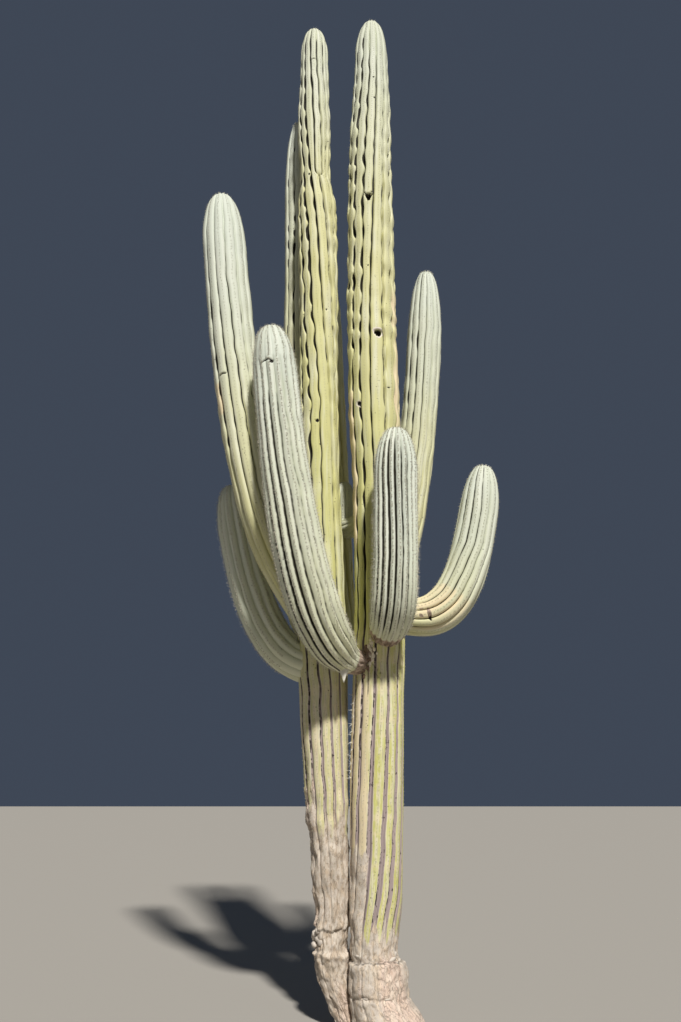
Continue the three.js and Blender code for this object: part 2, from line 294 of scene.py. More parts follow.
# %% The ribs of each limb, as this plant grew them
PLAIN_RIBS = {"floor": [(0, 0)], "knots": [(0, 0.004)], "points": 10}  # points across each rib
RIBS = {
    "trunk_right": {
        "guide": (10, [(0.68, -125), (0.88, -116), (1.22, -107), (1.6, -105), (2.33, -100), (5.1, -100),
                       (6.1, -97), (6.6, -91), (7.2, -84), (7.8, -80.5), (8.6, -75), (9.3, -72)]),
        "widths": {
            8: [(5, 0.92), (6.1, 0.86), (7.2, 0.93)],
            9: [(2.3, 1.12), (5, 0.88), (6.1, 0.74), (6.8, 0.84), (7.2, 1.08), (8, 0.92)],
            10: [(2.3, 1.1), (5, 1.3), (6.1, 1.12), (7.2, 1.0)],
            11: [(2.3, 0.95), (5, 1.4), (6.1, 1.25), (6.8, 1.05), (7.6, 1.3), (8.6, 1.1)],
        },
        "depth": [(0.3, 0.02), (0.62, 0.045), (1.2, 0.07), (2.5, 0.1), (3.3, 0.16), (5, 0.23), (6.5, 0.27),
                  (8.2, 0.25), (9.2, 0.2), (9.86, 0.12)],
        "squareness": [(0.6, 2.6), (2.4, 2.6), (3.3, 3.6), (5, 6), (8, 6), (9.2, 4), (9.6, 2.4)],
        "floor": [(0.6, 0.12), (2.2, 0.1), (3.4, 0.07), (5, 0.045), (6.5, 0.06), (7.3, 0.1), (8.4, 0.11),
                  (9.3, 0.07), (9.7, 0.03)],
        "knots": [(2.4, 0.005), (3.4, 0.03), (5, 0.05), (6.3, 0.07), (8.2, 0.06), (9.3, 0.03), (9.7, 0.015)],
        "points": 14,
        "calm": -92,
    },
    "trunk_left": {
        "guide": (9, [(1.2, -38), (1.7, -41), (2.06, -44), (4.67, -44), (5.07, -50), (5.52, -62),
                      (5.85, -71), (6.16, -77), (6.54, -84), (6.88, -88), (7.22, -95), (7.58, -104),
                      (7.93, -110), (8.42, -119), (8.97, -129), (9.3, -136)]),
        "widths": {
            7: [(2.1, 0.88), (4.6, 1.0)],
            8: [(2.1, 0.94), (4.7, 1.35), (5.1, 1.3), (5.6, 1.15), (7, 1.0)],
            9: [(5.5, 1.05), (7.2, 0.95)],
        },
        "new_rib": (10, 7.668, 0.075),  # its number, where it starts, and the height over which it opens
        "depth": [(0.3, 0.03), (0.9, 0.06), (1.4, 0.08), (2.4, 0.1), (3.4, 0.16), (5, 0.23), (6.5, 0.27),
                  (8.4, 0.26), (9.3, 0.22), (9.84, 0.14)],
        "squareness": [(0.9, 2.6), (2.4, 2.6), (3.3, 3.6), (5, 6), (8, 5.5), (9.3, 4), (9.6, 2.6)],
        "floor": [(0.8, 0.14), (2.2, 0.1), (3.4, 0.06), (5, 0.04), (5.8, 0.05), (6.6, 0.1), (8.6, 0.13),
                  (9.4, 0.12), (9.7, 0.05)],
        "knots": [(2.4, 0.005), (3.4, 0.03), (5, 0.05), (6.3, 0.07), (8.6, 0.065), (9.4, 0.03)],
        "points": 14,
        "calm": -86,
    },
    "arm_left_tall": {
        "guide": (11, [(1.2, -39), (1.9, -34), (2.3, -33), (2.9, -36), (3.4, -39), (4, -36)]),
        "depth": [(0.4, 0.12), (1.2, 0.21), (3.2, 0.22), (3.9, 0.18), (4.3, 0.1), (4.5, 0.06)],
        "squareness": [(0.5, 2.4), (2, 4.5), (3.8, 3.6), (4.2, 2.2)],
        "floor": [(0.8, 0.02), (1.4, 0.09), (2.6, 0.07), (3.2, 0.04), (3.8, 0)],
        "knots": [(0.8, 0.006), (1.5, 0.022), (2.4, 0.036), (3.3, 0.024), (3.9, 0.006)],
        "calm": -25,
    },
    "arm_left_front": {
        "guide": (14, [(0.6, -58), (1.6, -55.5), (1.95, -60), (2.5, -63), (3.2, -63)]),
        "widths": {15: [(0.6, 1.1), (1.3, 1.3), (2, 1.15), (2.4, 1.0)]},
        "depth": [(0.3, 0.05), (0.6, 0.13), (1.4, 0.17), (2.6, 0.15), (2.84, 0.1), (2.9, 0.02),
                  (3.27, 0.015)],
        "squareness": [(0.5, 1.4), (2.8, 1.5)],
    },
    "arm_left_low": {
        "depth": [(0.3, 0.1), (0.7, 0.2), (1.6, 0.2), (1.9, 0.08)],
        "squareness": [(0, 1.6)],
        "knots": [(0, 0.006)],
    },
    "arm_right_front": {
        "guide": (13, [(0.5, -103), (0.83, -102), (1.06, -103), (1.3, -105.5), (1.6, -108), (1.9, -109)]),
        "depth": [(0.15, 0.06), (0.4, 0.15), (1.4, 0.2), (1.75, 0.18), (1.9, 0.12), (1.98, 0.05)],
        "squareness": [(0, 1.45)],
    },
    "arm_right": {
        "guide": (6, [(0.63, 170), (0.81, 168), (1.0, 172), (1.16, 179.5), (1.5, 181), (1.7, 176)]),
        "depth": [(0.2, 0.12), (0.5, 0.2), (1.3, 0.2), (1.65, 0.15), (1.95, 0.06)],
        "squareness": [(0.2, 2.6), (1, 3), (1.7, 2.2)],
        "floor": [(0, 0.04), (1.5, 0.02)],
        "knots": [(0, 0.006)],
    },
    "arm_right_rear": {
        "guide": (4, [(1.7, 121), (2.3, 122), (2.8, 119.5), (3.5, 117)]),
        "depth": [(0.5, 0.12), (1.2, 0.21), (2.9, 0.22), (3.5, 0.17), (3.9, 0.06)],
        "squareness": [(0, 2.4), (1.4, 4), (3.2, 3.4), (3.6, 2.2)],
        "floor": [(0.8, 0.02), (1.4, 0.05), (2.6, 0.05), (3.2, 0)],
        "knots": [(0.5, 0.008), (1.3, 0.022), (2.9, 0.026), (3.5, 0.01)],
        "calm": 150,
    },
    "arm_rear_left": {
        "depth": [(0.5, 0.12), (1.3, 0.21), (4.8, 0.23), (5.8, 0.14), (6.1, 0.07)],
        "squareness": [(0, 2.6), (1.5, 4), (5.4, 3.4), (6, 2.2)],
        "floor": [(0.8, 0.01), (1.8, 0.02), (2.6, 0.05)],
        "knots": [(0.5, 0.008), (1.3, 0.025), (4.8, 0.034), (5.9, 0.015)],
    },
    "arm_rear_middle": {
        "depth": [(0.5, 0.12), (1.3, 0.21), (3.9, 0.22), (4.5, 0.1)],
        "squareness": [(0, 2.6), (1.5, 4), (4.2, 3.4), (4.7, 2.2)],
        "floor": [(0.8, 0.01), (1.8, 0.02), (2.6, 0.05)],
        "knots": [(0.5, 0.01), (1.3, 0.035), (3.9, 0.035), (4.5, 0.01)],
    },
    "arm_rear_bud": {
        "depth": [(0.2, 0.1), (0.6, 0.15), (0.85, 0.06)],
        "squareness": [(0, 1.7)],
    },
}
LIMBS = {**STEMS, **ARMS}
for number, (name, limb) in enumerate(LIMBS.items()):
    # all that is drawn at random for a limb starts from its seed, with a number added for each use
    limb.update({**PLAIN_RIBS, **RIBS[name], "name": name, "seed": 100 * (number + 1)})
print("ribs:", {name: limb["ribs"] for name, limb in LIMBS.items()})

# %% Grooves that wander
WAVE_SHARES = (0.62, 1, 1.55)  # the lengths of a wandering's three waves, as shares of the stated one
SLOW_DRIFT = (0.07, 2.3)  # how much a rib's width drifts, and over what length
QUICK_WAVE = 0.42  # the length of the quicker swings, which go with the knots
EVENING_OUT = 0.8  # the height over which the ribs beside a new one get their width back


def wander(seed, distance, wave):
    """A smooth wandering between about -1 and 1: three waves near the stated length."""
    total = 0
    for share, start in zip(WAVE_SHARES, np.random.default_rng(seed).random(3)):
        total = total + np.sin(2 * np.pi * (distance / (wave * share) + start))
    return total / 2.2  # three waves seldom add up to more


def drifting(seed, distance, drift):
    """A wandering of a stated size, over a stated length."""
    size, wave = drift
    return size * wander(seed, distance, wave)


def new_rib_width(distance, start, opening):
    """How wide a new rib is: almost nothing below its start, and then it opens like the end of a finger."""
    return 0.02 + 0.98 * np.sqrt(1 - (1 - np.clip((distance - start) / opening, 0, 1)) ** 2)


def groove_bearings(limb, distance):
    """The bearing of every groove round the limb, in radians, with one row for each distance."""
    count = limb["ribs"] + ("new_rib" in limb)
    restless = 0.04 + 0.45 * read_off(limb["knots"], distance)
    widths = np.ones((len(distance), count))
    for rib in range(count):
        widths[:, rib] += drifting(limb["seed"] + rib, distance, SLOW_DRIFT)
        widths[:, rib] += restless * wander(limb["seed"] + 30 + rib, distance, QUICK_WAVE)
        if rib in limb.get("widths", {}):
            widths[:, rib] *= read_off(limb["widths"][rib], distance)
    if "new_rib" in limb:
        rib, start, opening = limb["new_rib"]
        taken = new_rib_width(distance, start, opening)
        widths[:, rib] *= taken
        for beside in (rib - 1, rib + 1):
            widths[:, beside] *= 1.12 - 0.4 * taken * (1 - eased((distance - start) / EVENING_OUT))
    turned = np.concatenate([np.zeros((len(distance), 1)), np.cumsum(widths, axis=1)], axis=1)
    turned *= 2 * np.pi / turned[:, -1:]
    groove, bearings = limb.get("guide", (0, [(0, 0)]))
    wanted = np.radians(read_off(bearings, distance))
    return turned + (wanted - turned[:, groove])[:, None]


halfway = np.degrees(np.diff(groove_bearings(LIMBS["trunk_right"], np.array([5.0]))[0]))
print("at 5 m the right stem's ribs are", round(halfway.min()), "to", round(halfway.max()), "degrees wide")

# %% [markdown]
# ## Marks on the skin
# A stem that has stood for a century is full of marks. Birds have drilled a nest and some holes, and the
# plant has lined them with a pale callus. Frost years leave creases, where a rib pauses and starts again, or
# a wedge, where two ribs part. Healed wounds show as seams, upright or at a slant. Each mark is a small
# formula in two lengths on the skin, sideways and upwards from the mark's middle, which gives a dent in
# metres and a share of painted shade, so that the same place is hollow in the mesh and shaded dark in the
# finish.

# %% Holes, wedges, creases and seams
MARKS = {  # kind, distance, bearing, width, height, depth; a crease's height says how far it arches
    "trunk_right": [
        ("nest", 5.683, -78.3, 0.08, 0.078, 0.07),
        ("hole", 4.973, -128.7, 0.036, 0.04, 0.022),
        ("hole", 6.44, -99.7, 0.016, 0.018, 0.012),
        ("hole", 5.124, -57.5, 0.016, 0.018, 0.012),
        ("hole", 8.86, -84, 0.016, 0.018, 0.01),
        ("hole", 8.57, -81, 0.018, 0.02, 0.01),
        ("wedge", 7.245, -96.4, 0.085, 0.1, 0.075),
        ("crease", 7.29, -98, 0.115, 0.07, 0.02),
        ("seam", 2.7, -110, 0.014, 0.2, 0.012),
        ("slant", 2.6, -104, 0.014, 0.17, 0.01),
        ("slant", 2.52, -96, 0.012, 0.12, 0.008),
        ("seam", 2.5, -116, 0.016, 0.3, 0.01),
    ],
    "trunk_left": [
        ("hole", 7.68, -113.3, 0.022, 0.024, 0.014),
        ("hole", 4.838, -92, 0.03, 0.034, 0.018),
        ("hole", 6.033, -63.9, 0.018, 0.02, 0.012),
        ("hole", 4.602, -85, 0.012, 0.012, 0.006),
        ("crease", 9.269, -92.2, 0.09, -0.03, 0.01),
    ],
    "arm_left_front": [
        ("crease", 2.862, -59.5, 0.12, -0.035, 0.016),
        ("hole", 2.834, -46.2, 0.026, 0.03, 0.016),
        ("seam", 3.06, -52, 0.012, 0.38, 0.008),
    ],
    "arm_left_tall": [
        ("crease", 2.415, -50.8, 0.1, -0.012, 0.016),
        ("crease", 3.944, -22.8, 0.05, 0.012, 0.003),
    ],
    "arm_right": [("wedge", 0.395, -160, 0.045, 0.02, 0.012)],
}
LINES = ("crease", "seam", "slant")
print("marks:", sum(len(marks) for marks in MARKS.values()))

# %% The shape of each kind of mark
HOLE_EDGE = 0.25  # how soft a hole's edge is, as a share of its radius
RIM_PLACE = 1.3  # where the callus stands highest, as a share of a hole's radius
RIM_WIDTH = 0.28
CREASE_WIDTH = 0.007
SLANT = 0.9  # how far a slanting seam moves sideways for each metre up
FULL_DARK = 0.025  # the depth at which the painted shade of a crease or a seam would be full
CALLUS_FROM = 0.02  # holes less deep than this have no callus


def bell(value, middle, width):
    """1 at the middle value, and fading on both sides of it over about a width."""
    return np.exp(-(((value - middle) / width) ** 2))


def turned_from(bearing, degrees):
    """The angle in radians from a bearing in degrees to places round a limb, the short way."""
    return (bearing - math.radians(degrees) + np.pi) % (2 * np.pi) - np.pi


def mark_shape(kind, sideways, upwards, width, height):
    """How much of a mark's depth, and of its rim, there is at places near it."""
    if kind == "crease":
        share = sideways / (width / 2)
        arched = height * (share**2 - 0.25 * share**4)
        hollow = bell(upwards, arched, CREASE_WIDTH) * (1 - eased((np.abs(share) - 0.85) / 0.3))
        return hollow, 0 * hollow
    if kind in ("seam", "slant"):
        off = sideways + (SLANT * upwards if kind == "slant" else 0)
        hollow = bell(off, 0, width / 2) * (1 - eased((np.abs(upwards) / (height / 2) - 0.8) / 0.2))
        return hollow, 0 * hollow
    if kind == "wedge":
        span = np.clip(0.5 + upwards / height, 0.05, 1)
        away = np.maximum(np.abs(sideways) / (width / 2 * span), np.abs(upwards) / (height / 2))
    else:
        pointed = 0.85 + 0.6 * np.clip(upwards / height, -0.5, 0.5) if kind == "nest" else 1
        away = np.hypot(sideways / (width / 2 * pointed), upwards / (height / 2))
    hollow = 1 - eased((away - 1 + HOLE_EDGE) / (1.5 * HOLE_EDGE))
    return hollow, bell(away, RIM_PLACE, RIM_WIDTH)


def press_marks(limb, distance, bearing, radius):
    """The dent in metres, the share of painted shade and the share of callus that all of a limb's marks make.
    """
    dent, dark, callus = (np.zeros_like(bearing) for _ in range(3))
    for kind, at, degrees, width, height, depth in MARKS.get(limb["name"], []):
        sideways = turned_from(bearing, degrees) * radius[:, None]
        hollow, rim = mark_shape(kind, sideways, (distance - at)[:, None], width, height)
        # painted shade: holes are fully dark, and creases and seams darker the deeper they are
        darkness = min(0.6, depth / FULL_DARK) if kind in LINES else 1
        dent = np.maximum(dent, hollow * depth)
        dark = np.maximum(dark, hollow * darkness)
        if kind in ("hole", "nest") and depth > CALLUS_FROM:
            callus = np.maximum(callus, rim)
    return dent, dark, callus


hollow = mark_shape("hole", np.array([0, 0.01, 0.02]), 0, 0.04, 0.04)[0]
print("a hole 4 cm wide is hollow by", np.round(hollow, 2), "of its depth, 0, 1 and 2 cm from its middle")

# %% [markdown]
# ## The foot
# The oldest skin turns to cork, which can't stretch, so it breaks into rings like the top of a boot. Both
# stems have two such steps with ragged edges. Here the radius is pushed to one of two values on each side
# of an uneven line round the stem, and lumps of three sizes roughen the cork.

# %% Ragged edges and lumps of cork
CORK_TOP = {  # where cork begins, over what height, and the bearing where it reaches higher and by how much
    "trunk_right": (0.73, 0.16, -168, 0.55),
    "trunk_left": (1.6, 0.5, -170, 0.2),
}
CORK_LUMPS = ((9, 0.13, 0.010), (26, 0.05, 0.007), (60, 0.022, 0.004))  # lumps round, height of one, size


def patch(share, edge=0.35):
    """1 in the middle of a patch and 0 outside. The share is the distance from its middle over its size."""
    return 1 - eased((share - 1 + edge) / edge)


def turned_by(bearing, degrees):
    """The angle from a bearing without its sign."""
    return np.abs(turned_from(bearing, degrees))


def ragged_line(seed, bearing, level, swing):
    """An uneven line round a stem, near one level."""
    starts = np.random.default_rng(seed).random(4) * 2 * np.pi
    waves = [np.sin(turns * bearing + start) / turns**0.4 for turns, start in zip((2, 7, 17, 29), starts)]
    return level + swing * sum(waves) / 1.8


def lumpy(seed, bearing, height, around, tall):
    """Lumps over a limb: random heights on a net round it, joined smoothly."""
    net = np.random.default_rng(seed).uniform(-1, 1, (int(height.max() / tall) + 2, around))
    turn = bearing / (2 * np.pi) % 1 * around
    rise = height[:, None] / tall + 0 * bearing
    left, low = np.floor(turn).astype(int), np.floor(rise).astype(int)
    over, up = eased(turn - left), eased(rise - low)
    left, right = left % around, (left + 1) % around
    lower = net[low, left] * (1 - over) + net[low, right] * over
    upper = net[low + 1, left] * (1 - over) + net[low + 1, right] * over
    return lower * (1 - up) + upper * up


sample = ragged_line(7, np.linspace(0, 6, 50), 0.4, 0.02)
print("a ragged edge swings over", round(float(np.ptp(sample)), 3), "m")

# %% The steps of both feet
STEP_HEIGHT = 0.012
STEPS = {  # the level and the swing of each ragged edge, the upper one first
    "trunk_right": ((0.447, 0.02), (0.225, 0.024)),
    "trunk_left": ((0.656, 0.024), (0.489, 0.02)),
}
BOOT_HEIGHTS = (0.25, 0.56)  # the boot is shaped between these
BOOT_NECK = 0.183  # the right stem's radius just above its boot
BOOT_RIM = 0.212  # and the least at the boot's rim
SPLIT_DEPTH = 0.012  # of the ring that is split into the boot


def above(line, up):
    """0 below a line and 1 above it, with the slope of a step between."""
    return eased((up - line) / STEP_HEIGHT + 0.5)


def right_foot(up, bearing, radius, boot_top, split):
    """The boot of the right stem, with one more ring split into it, and its dark cracks, partly painted shade
    in its corners.
    """
    near = (up > BOOT_HEIGHTS[0]) & (up < BOOT_HEIGHTS[1])
    inner = np.minimum(radius, BOOT_NECK)
    outer = np.maximum(radius, BOOT_RIM - 0.05 * np.clip(0.43 - up, 0, 1))
    radius = np.where(near, outer + (inner - outer) * above(boot_top, up), radius)
    ring = above(split - 0.012, up) * (1 - above(split + 0.008, up))
    broken = 0.3 + 0.15 * np.sin(9 * bearing) * np.sin(4 * bearing + 1)
    # dark along the split ring and above the boot's rim: partly cracks in the cork, partly painted shade in
    # these corners
    crack_and_shade = np.maximum(0.6 * broken * ring, 0.4 * bell(up, boot_top + 0.005, 0.007))
    return radius - SPLIT_DEPTH * ring, crack_and_shade


def left_foot(up, radius, upper, lower):
    """The neck between the left foot's two edges, the bulge under the lower one, and dark lines, partly
    cracks and partly painted shade under the edges.
    """
    neck = above(lower, up) * (1 - above(upper, up))
    radius = radius - 0.02 * neck + 0.01 * bell(up, lower - 0.015, 0.02)
    # dark just under the upper edge and over the lower one: partly cracks, partly painted shade under the
    # ledges
    crack_and_shade = np.maximum(0.27 * bell(up, upper - 0.006, 0.008), 0.2 * bell(up, lower + 0.005, 0.007))
    return radius, crack_and_shade


def foot_radius(limb, height, bearing, radius):
    """The radius of a stem's foot, with its steps, and how dark each place is in its cracks and the painted
    shade of its steps.
    """
    up, seed = height[:, None], limb["seed"] + 7
    edges = [ragged_line(seed + k, bearing, *edge) for k, edge in enumerate(STEPS[limb["name"]])]
    if limb["name"] == "trunk_right":
        return right_foot(up, bearing, radius, *edges)
    return left_foot(up, radius, *edges)


print("the boot's rim stands", round(BOOT_RIM - BOOT_NECK, 3), "m proud")

# %% [markdown]
# ## From rules to a skin
# A skin is a net of rows up the limb and points round it. A cosine spreads the points of a rib, so they
# crowd at the grooves, where the skin turns sharply, and rows crowd at the tip, the foot and the marks. The
# cross-section of a rib is a rounded arch: a power of 1.5 makes it a soft ridge, like those of the young
# arms, 2 makes it half an ellipse, and 4 to 6 make the flat-topped ribs of the old limbs.

# %% The rows of a limb
ROW = 0.0275  # between rows on most of a limb
FOOT_ROW = 0.0095
FOOT_ROWS_END = 0.72
MARK_ROW = 0.006
TIP_ROWS = 15
TIP_ROWS_START = 0.25  # as a share of the tip's length
MARK_MARGIN = 0.015  # how far the fine rows reach past a mark
INSIDE = 0.4  # an arm's skin begins at this share of its stem's radius


def first_distance(limb):
    """Where a limb's skin begins: a stem's at the ground, and an arm's inside the stem that carries it."""
    if "carrier" not in limb:
        return 0.0
    tried = np.arange(0, 1, 0.005)
    line = arm_sections(limb, tried)[0]
    centre, radius, _, _ = stem_sections(LIMBS[limb["carrier"]], line[:, 2])
    outside = np.linalg.norm((line - centre)[:, :2], axis=1) > INSIDE * radius
    return float(tried[np.argmax(outside)])


def row_distances(limb):
    """How far up a limb each row lies."""
    start, end = first_distance(limb), limb["length"] - TIP_ROWS_START * limb["tip_length"]
    rows = list(np.linspace(start, end, int((end - start) / ROW) + 1))
    if limb["name"] in CORK_TOP:
        rows += list(np.arange(0, FOOT_ROWS_END, FOOT_ROW))
    for kind, at, _, _, height, _ in MARKS.get(limb["name"], []):
        reach = (0 if kind in ("seam", "slant") else abs(height)) * 0.9 + MARK_MARGIN
        rows += list(np.arange(at - reach, at + reach, MARK_ROW))
    if "new_rib" in limb:
        _, opens, opening = limb["new_rib"]
        rows += list(np.arange(opens - 0.02, opens + opening, MARK_ROW))
    rows = np.unique(np.round([r for r in rows if start <= r <= end], 4))
    kept = [rows[0]]
    for row in rows[1:]:
        if row - kept[-1] > 0.75 * MARK_ROW:
            kept.append(row)
    shares = TIP_ROWS_START * (1 - np.arange(1, TIP_ROWS) / TIP_ROWS) ** 2
    return np.array(kept + list(limb["length"] - shares * limb["tip_length"]))


for name in ("trunk_right", "arm_right"):
    print(name, "has", len(row_distances(LIMBS[name])), "rows from", round(first_distance(LIMBS[name]), 2))

# %% [markdown]
# ## Beads, and the gaps between them
# An old rib isn't even. Each spell of growth has left a bead on it. Between two beads it is pinched, and
# the groove beside it gapes like a lens. The ribs of a limb bead at nearly the same heights, so they share
# one wave, and each comes a little late or early. The points of the net follow the edges of every gap, which
# keeps it crisp with few points.

# %% The arch and the beads of a rib
KNOT = 0.28  # the length of one bead on an old rib
GAPE_LENGTH = 0.42  # half the length of a gap, as a share of a bead
LATE = 0.3  # how early or late a rib's beads come after those of the rib before, in beads
SHARED_DRIFT = (0.3, 1.6)  # how far the beads of a whole limb drift, in beads, and over what length
OWN_DRIFT = (0.12, 0.9)  # and those of each rib
STRENGTH_DRIFT = (0.35, 0.7)  # how much stronger or weaker they get along a rib, and over what length
CALM_WIDTH = 55  # how far round from its calm bearing a limb beads less, in degrees


def rib_arch(out, squareness):
    """How high a rib stands at places across it, which lie from 0 at its crest out to 1 at its foot."""
    return (1 - np.clip(out, 0, 1) ** squareness) ** (1 / squareness)


def beads(limb, distance, count):
    """How swollen each rib is, from 0 at a pinch to 1, how far it gapes, and how strong its beads are."""
    size = read_off(limb["knots"], distance)
    late = np.cumsum(np.random.default_rng(limb["seed"] + 61).normal(0, LATE, count))
    together = distance / KNOT + drifting(limb["seed"] + 62, distance, SHARED_DRIFT)
    swell, gape, strength = (np.empty((len(distance), count)) for _ in range(3))
    for rib in range(count):
        phase = together + late[rib] + drifting(limb["seed"] + 140 + rib, distance, OWN_DRIFT)
        uneven = drifting(limb["seed"] + 170 + rib, distance, STRENGTH_DRIFT)
        swell[:, rib] = (0.5 - 0.5 * np.cos(2 * np.pi * phase)) ** 0.8
        gape[:, rib] = np.clip(1 - (((phase + 0.5) % 1 - 0.5) / GAPE_LENGTH) ** 2, 0, 1)
        strength[:, rib] = size * np.clip(0.95 + uneven, 0.2, 1.4)
    return swell, gape, strength


def calmed(limb, grooves, strength):
    """The strength of a limb's beads, which is less round the bearing where it is calm."""
    if "calm" not in limb:
        return strength
    middles = (grooves[:, :-1] + grooves[:, 1:]) / 2
    near = patch(turned_by(middles, limb["calm"]) / math.radians(CALM_WIDTH), 0.7)
    return strength * (1.25 - 0.95 * near)


print("a stem's rib has room for", round(STEMS["trunk_right"]["length"] / KNOT), "beads")

# %% The points across each rib
SLIT = 5.2  # how far a groove gapes where its ribs are pinched
NARROWEST, WIDEST = 0.02, 0.7  # the least and the most of a rib's width that its groove takes


def across_rib(points):
    """The places of a rib's points: one in the groove, then a spread from 1 at its left foot to -1."""
    return np.cos(np.pi * (np.arange(points) - 1) / (points - 2))


def lay_out_ribs(limb, distance, grooves):
    """Which rib each point is on, its share of the way across, how high the rib is there, and its beads."""
    count = grooves.shape[1] - 1
    rib = np.repeat(np.arange(count), limb["points"])
    on_rib = np.tile(np.arange(limb["points"]), count) > 0
    out = np.tile(across_rib(limb["points"]), count)
    swell, gape, strength = beads(limb, distance, count)
    strength = calmed(limb, grooves, strength)
    swell, gape, strength = swell[:, rib], gape[:, rib], strength[:, rib]
    one_sided = 1 - 0.5 * np.sign(np.round(out, 6))
    gap = SLIT * strength * gape * one_sided
    floor = np.clip(read_off(limb["floor"], distance)[:, None] + gap, NARROWEST, WIDEST)
    arch = rib_arch(np.abs(out), read_off(limb["squareness"], distance)[:, None]) * on_rib
    if "new_rib" in limb:
        number, start, opening = limb["new_rib"]
        arch = np.where(rib == number, arch * new_rib_width(distance, start, opening)[:, None], arch)
    return {
        "rib": rib,
        "share": np.where(on_rib, 0.5 - 0.5 * (1 - floor) * out, 0),
        "arch": arch,
        "swell": swell,
        "strength": strength,
        "pinch": strength * gape,
    }


print("across a young rib:", np.round(across_rib(PLAIN_RIBS["points"])[1:], 2))

# %% How far the skin stands out from the axis
SWELLING = 0.72  # how far a full bead stands out, for each unit of its strength
APEX = 0.5  # the share of the radius within which a tip sinks in
APEX_DEPTH = 0.35  # how much deeper the grooves get over a tip
APEX_SUNK = 0.22  # how far the middle of a tip sinks in, as a share of the radius
ROUGHNESS = 0.008
BENDS = ((1, 1.9, 0.010), (2, 1.1, 0.008), (3, 0.55, 0.006))  # turns round the limb, wave length, size
LEFT_LUMPS = 1.5  # how much larger the lumps of cork are on the left foot
HIGHER_WIDTH = 70  # how far round the cork reaches higher, in degrees to each side
CORK_DRIFT = (0.09, 1.1)  # how much its top goes up and down from rib to rib, and over what turn
CORK_EDGE = (40, 0.2)  # the number round and the height of the lumps of its edge


def rib_relief(limb, distance, radius, full, ribs):
    """The reach of the skin over the ribs and into the grooves, with the beads."""
    depth = read_off(limb["depth"], distance) + APEX_DEPTH * (1 - eased(full / APEX))
    reach = radius[:, None] * (1 - depth[:, None] * (1 - ribs["arch"]))
    swelling = SWELLING * ribs["strength"] * (ribs["swell"] - 0.55) * (0.35 + 0.65 * ribs["arch"])
    return reach * (1 + swelling * eased(full[:, None] * 1.2))


def roughen(limb, distance, bearing, radius, reach):
    """Adds the lumps of rough places, and the low bends that keep a limb from being quite round."""
    for at, degrees, half_height, half_width in limb.get("rough", []):
        sideways = turned_by(bearing, degrees) * radius[:, None] / half_width
        away = np.hypot(sideways, (distance[:, None] - at) / half_height)
        lumps = 1 + lumpy(limb["seed"] + 5, bearing, distance, 40, 0.03)
        reach = reach + ROUGHNESS * patch(away, 0.6) * lumps
    starts = np.random.default_rng(limb["seed"] + 80).random(len(BENDS)) * 2 * np.pi
    for (turns, wave, size), start in zip(BENDS, starts):
        reach = reach * (1 + size * np.sin(turns * bearing + 2 * np.pi * distance[:, None] / wave + start))
    return reach


def cork_over(limb, distance, grooves, ribs, bearing, reach):
    """Adds the lumps of cork to a stem's foot, and says how much cork there is at each point."""
    top, over, side, higher = CORK_TOP[limb["name"]]
    low_row = int(np.argmin(np.abs(distance - top - 0.3)))
    rib_side = (grooves[low_row, ribs["rib"]] + grooves[low_row, ribs["rib"] + 1]) / 2
    top = top + higher * patch(turned_by(rib_side, side) / math.radians(HIGHER_WIDTH), 0.5)
    top = top + drifting(limb["seed"] + 3, rib_side, CORK_DRIFT)
    top = top + 0.1 * lumpy(limb["seed"] + 3, bearing, distance, *CORK_EDGE)
    below = top - distance[:, None]
    for around, tall, size in CORK_LUMPS:
        size *= LEFT_LUMPS if limb["name"] == "trunk_left" else 1
        lumps = lumpy(limb["seed"] + around, bearing, distance, around, tall)
        reach = reach + np.clip(below / 0.2, 0, 1) * size * lumps
    return reach, np.clip(below / over + 0.4 * (1 - ribs["arch"]), 0, 1)


print("a stem bends by up to", sum(size for _, _, size in BENDS), "of its radius")

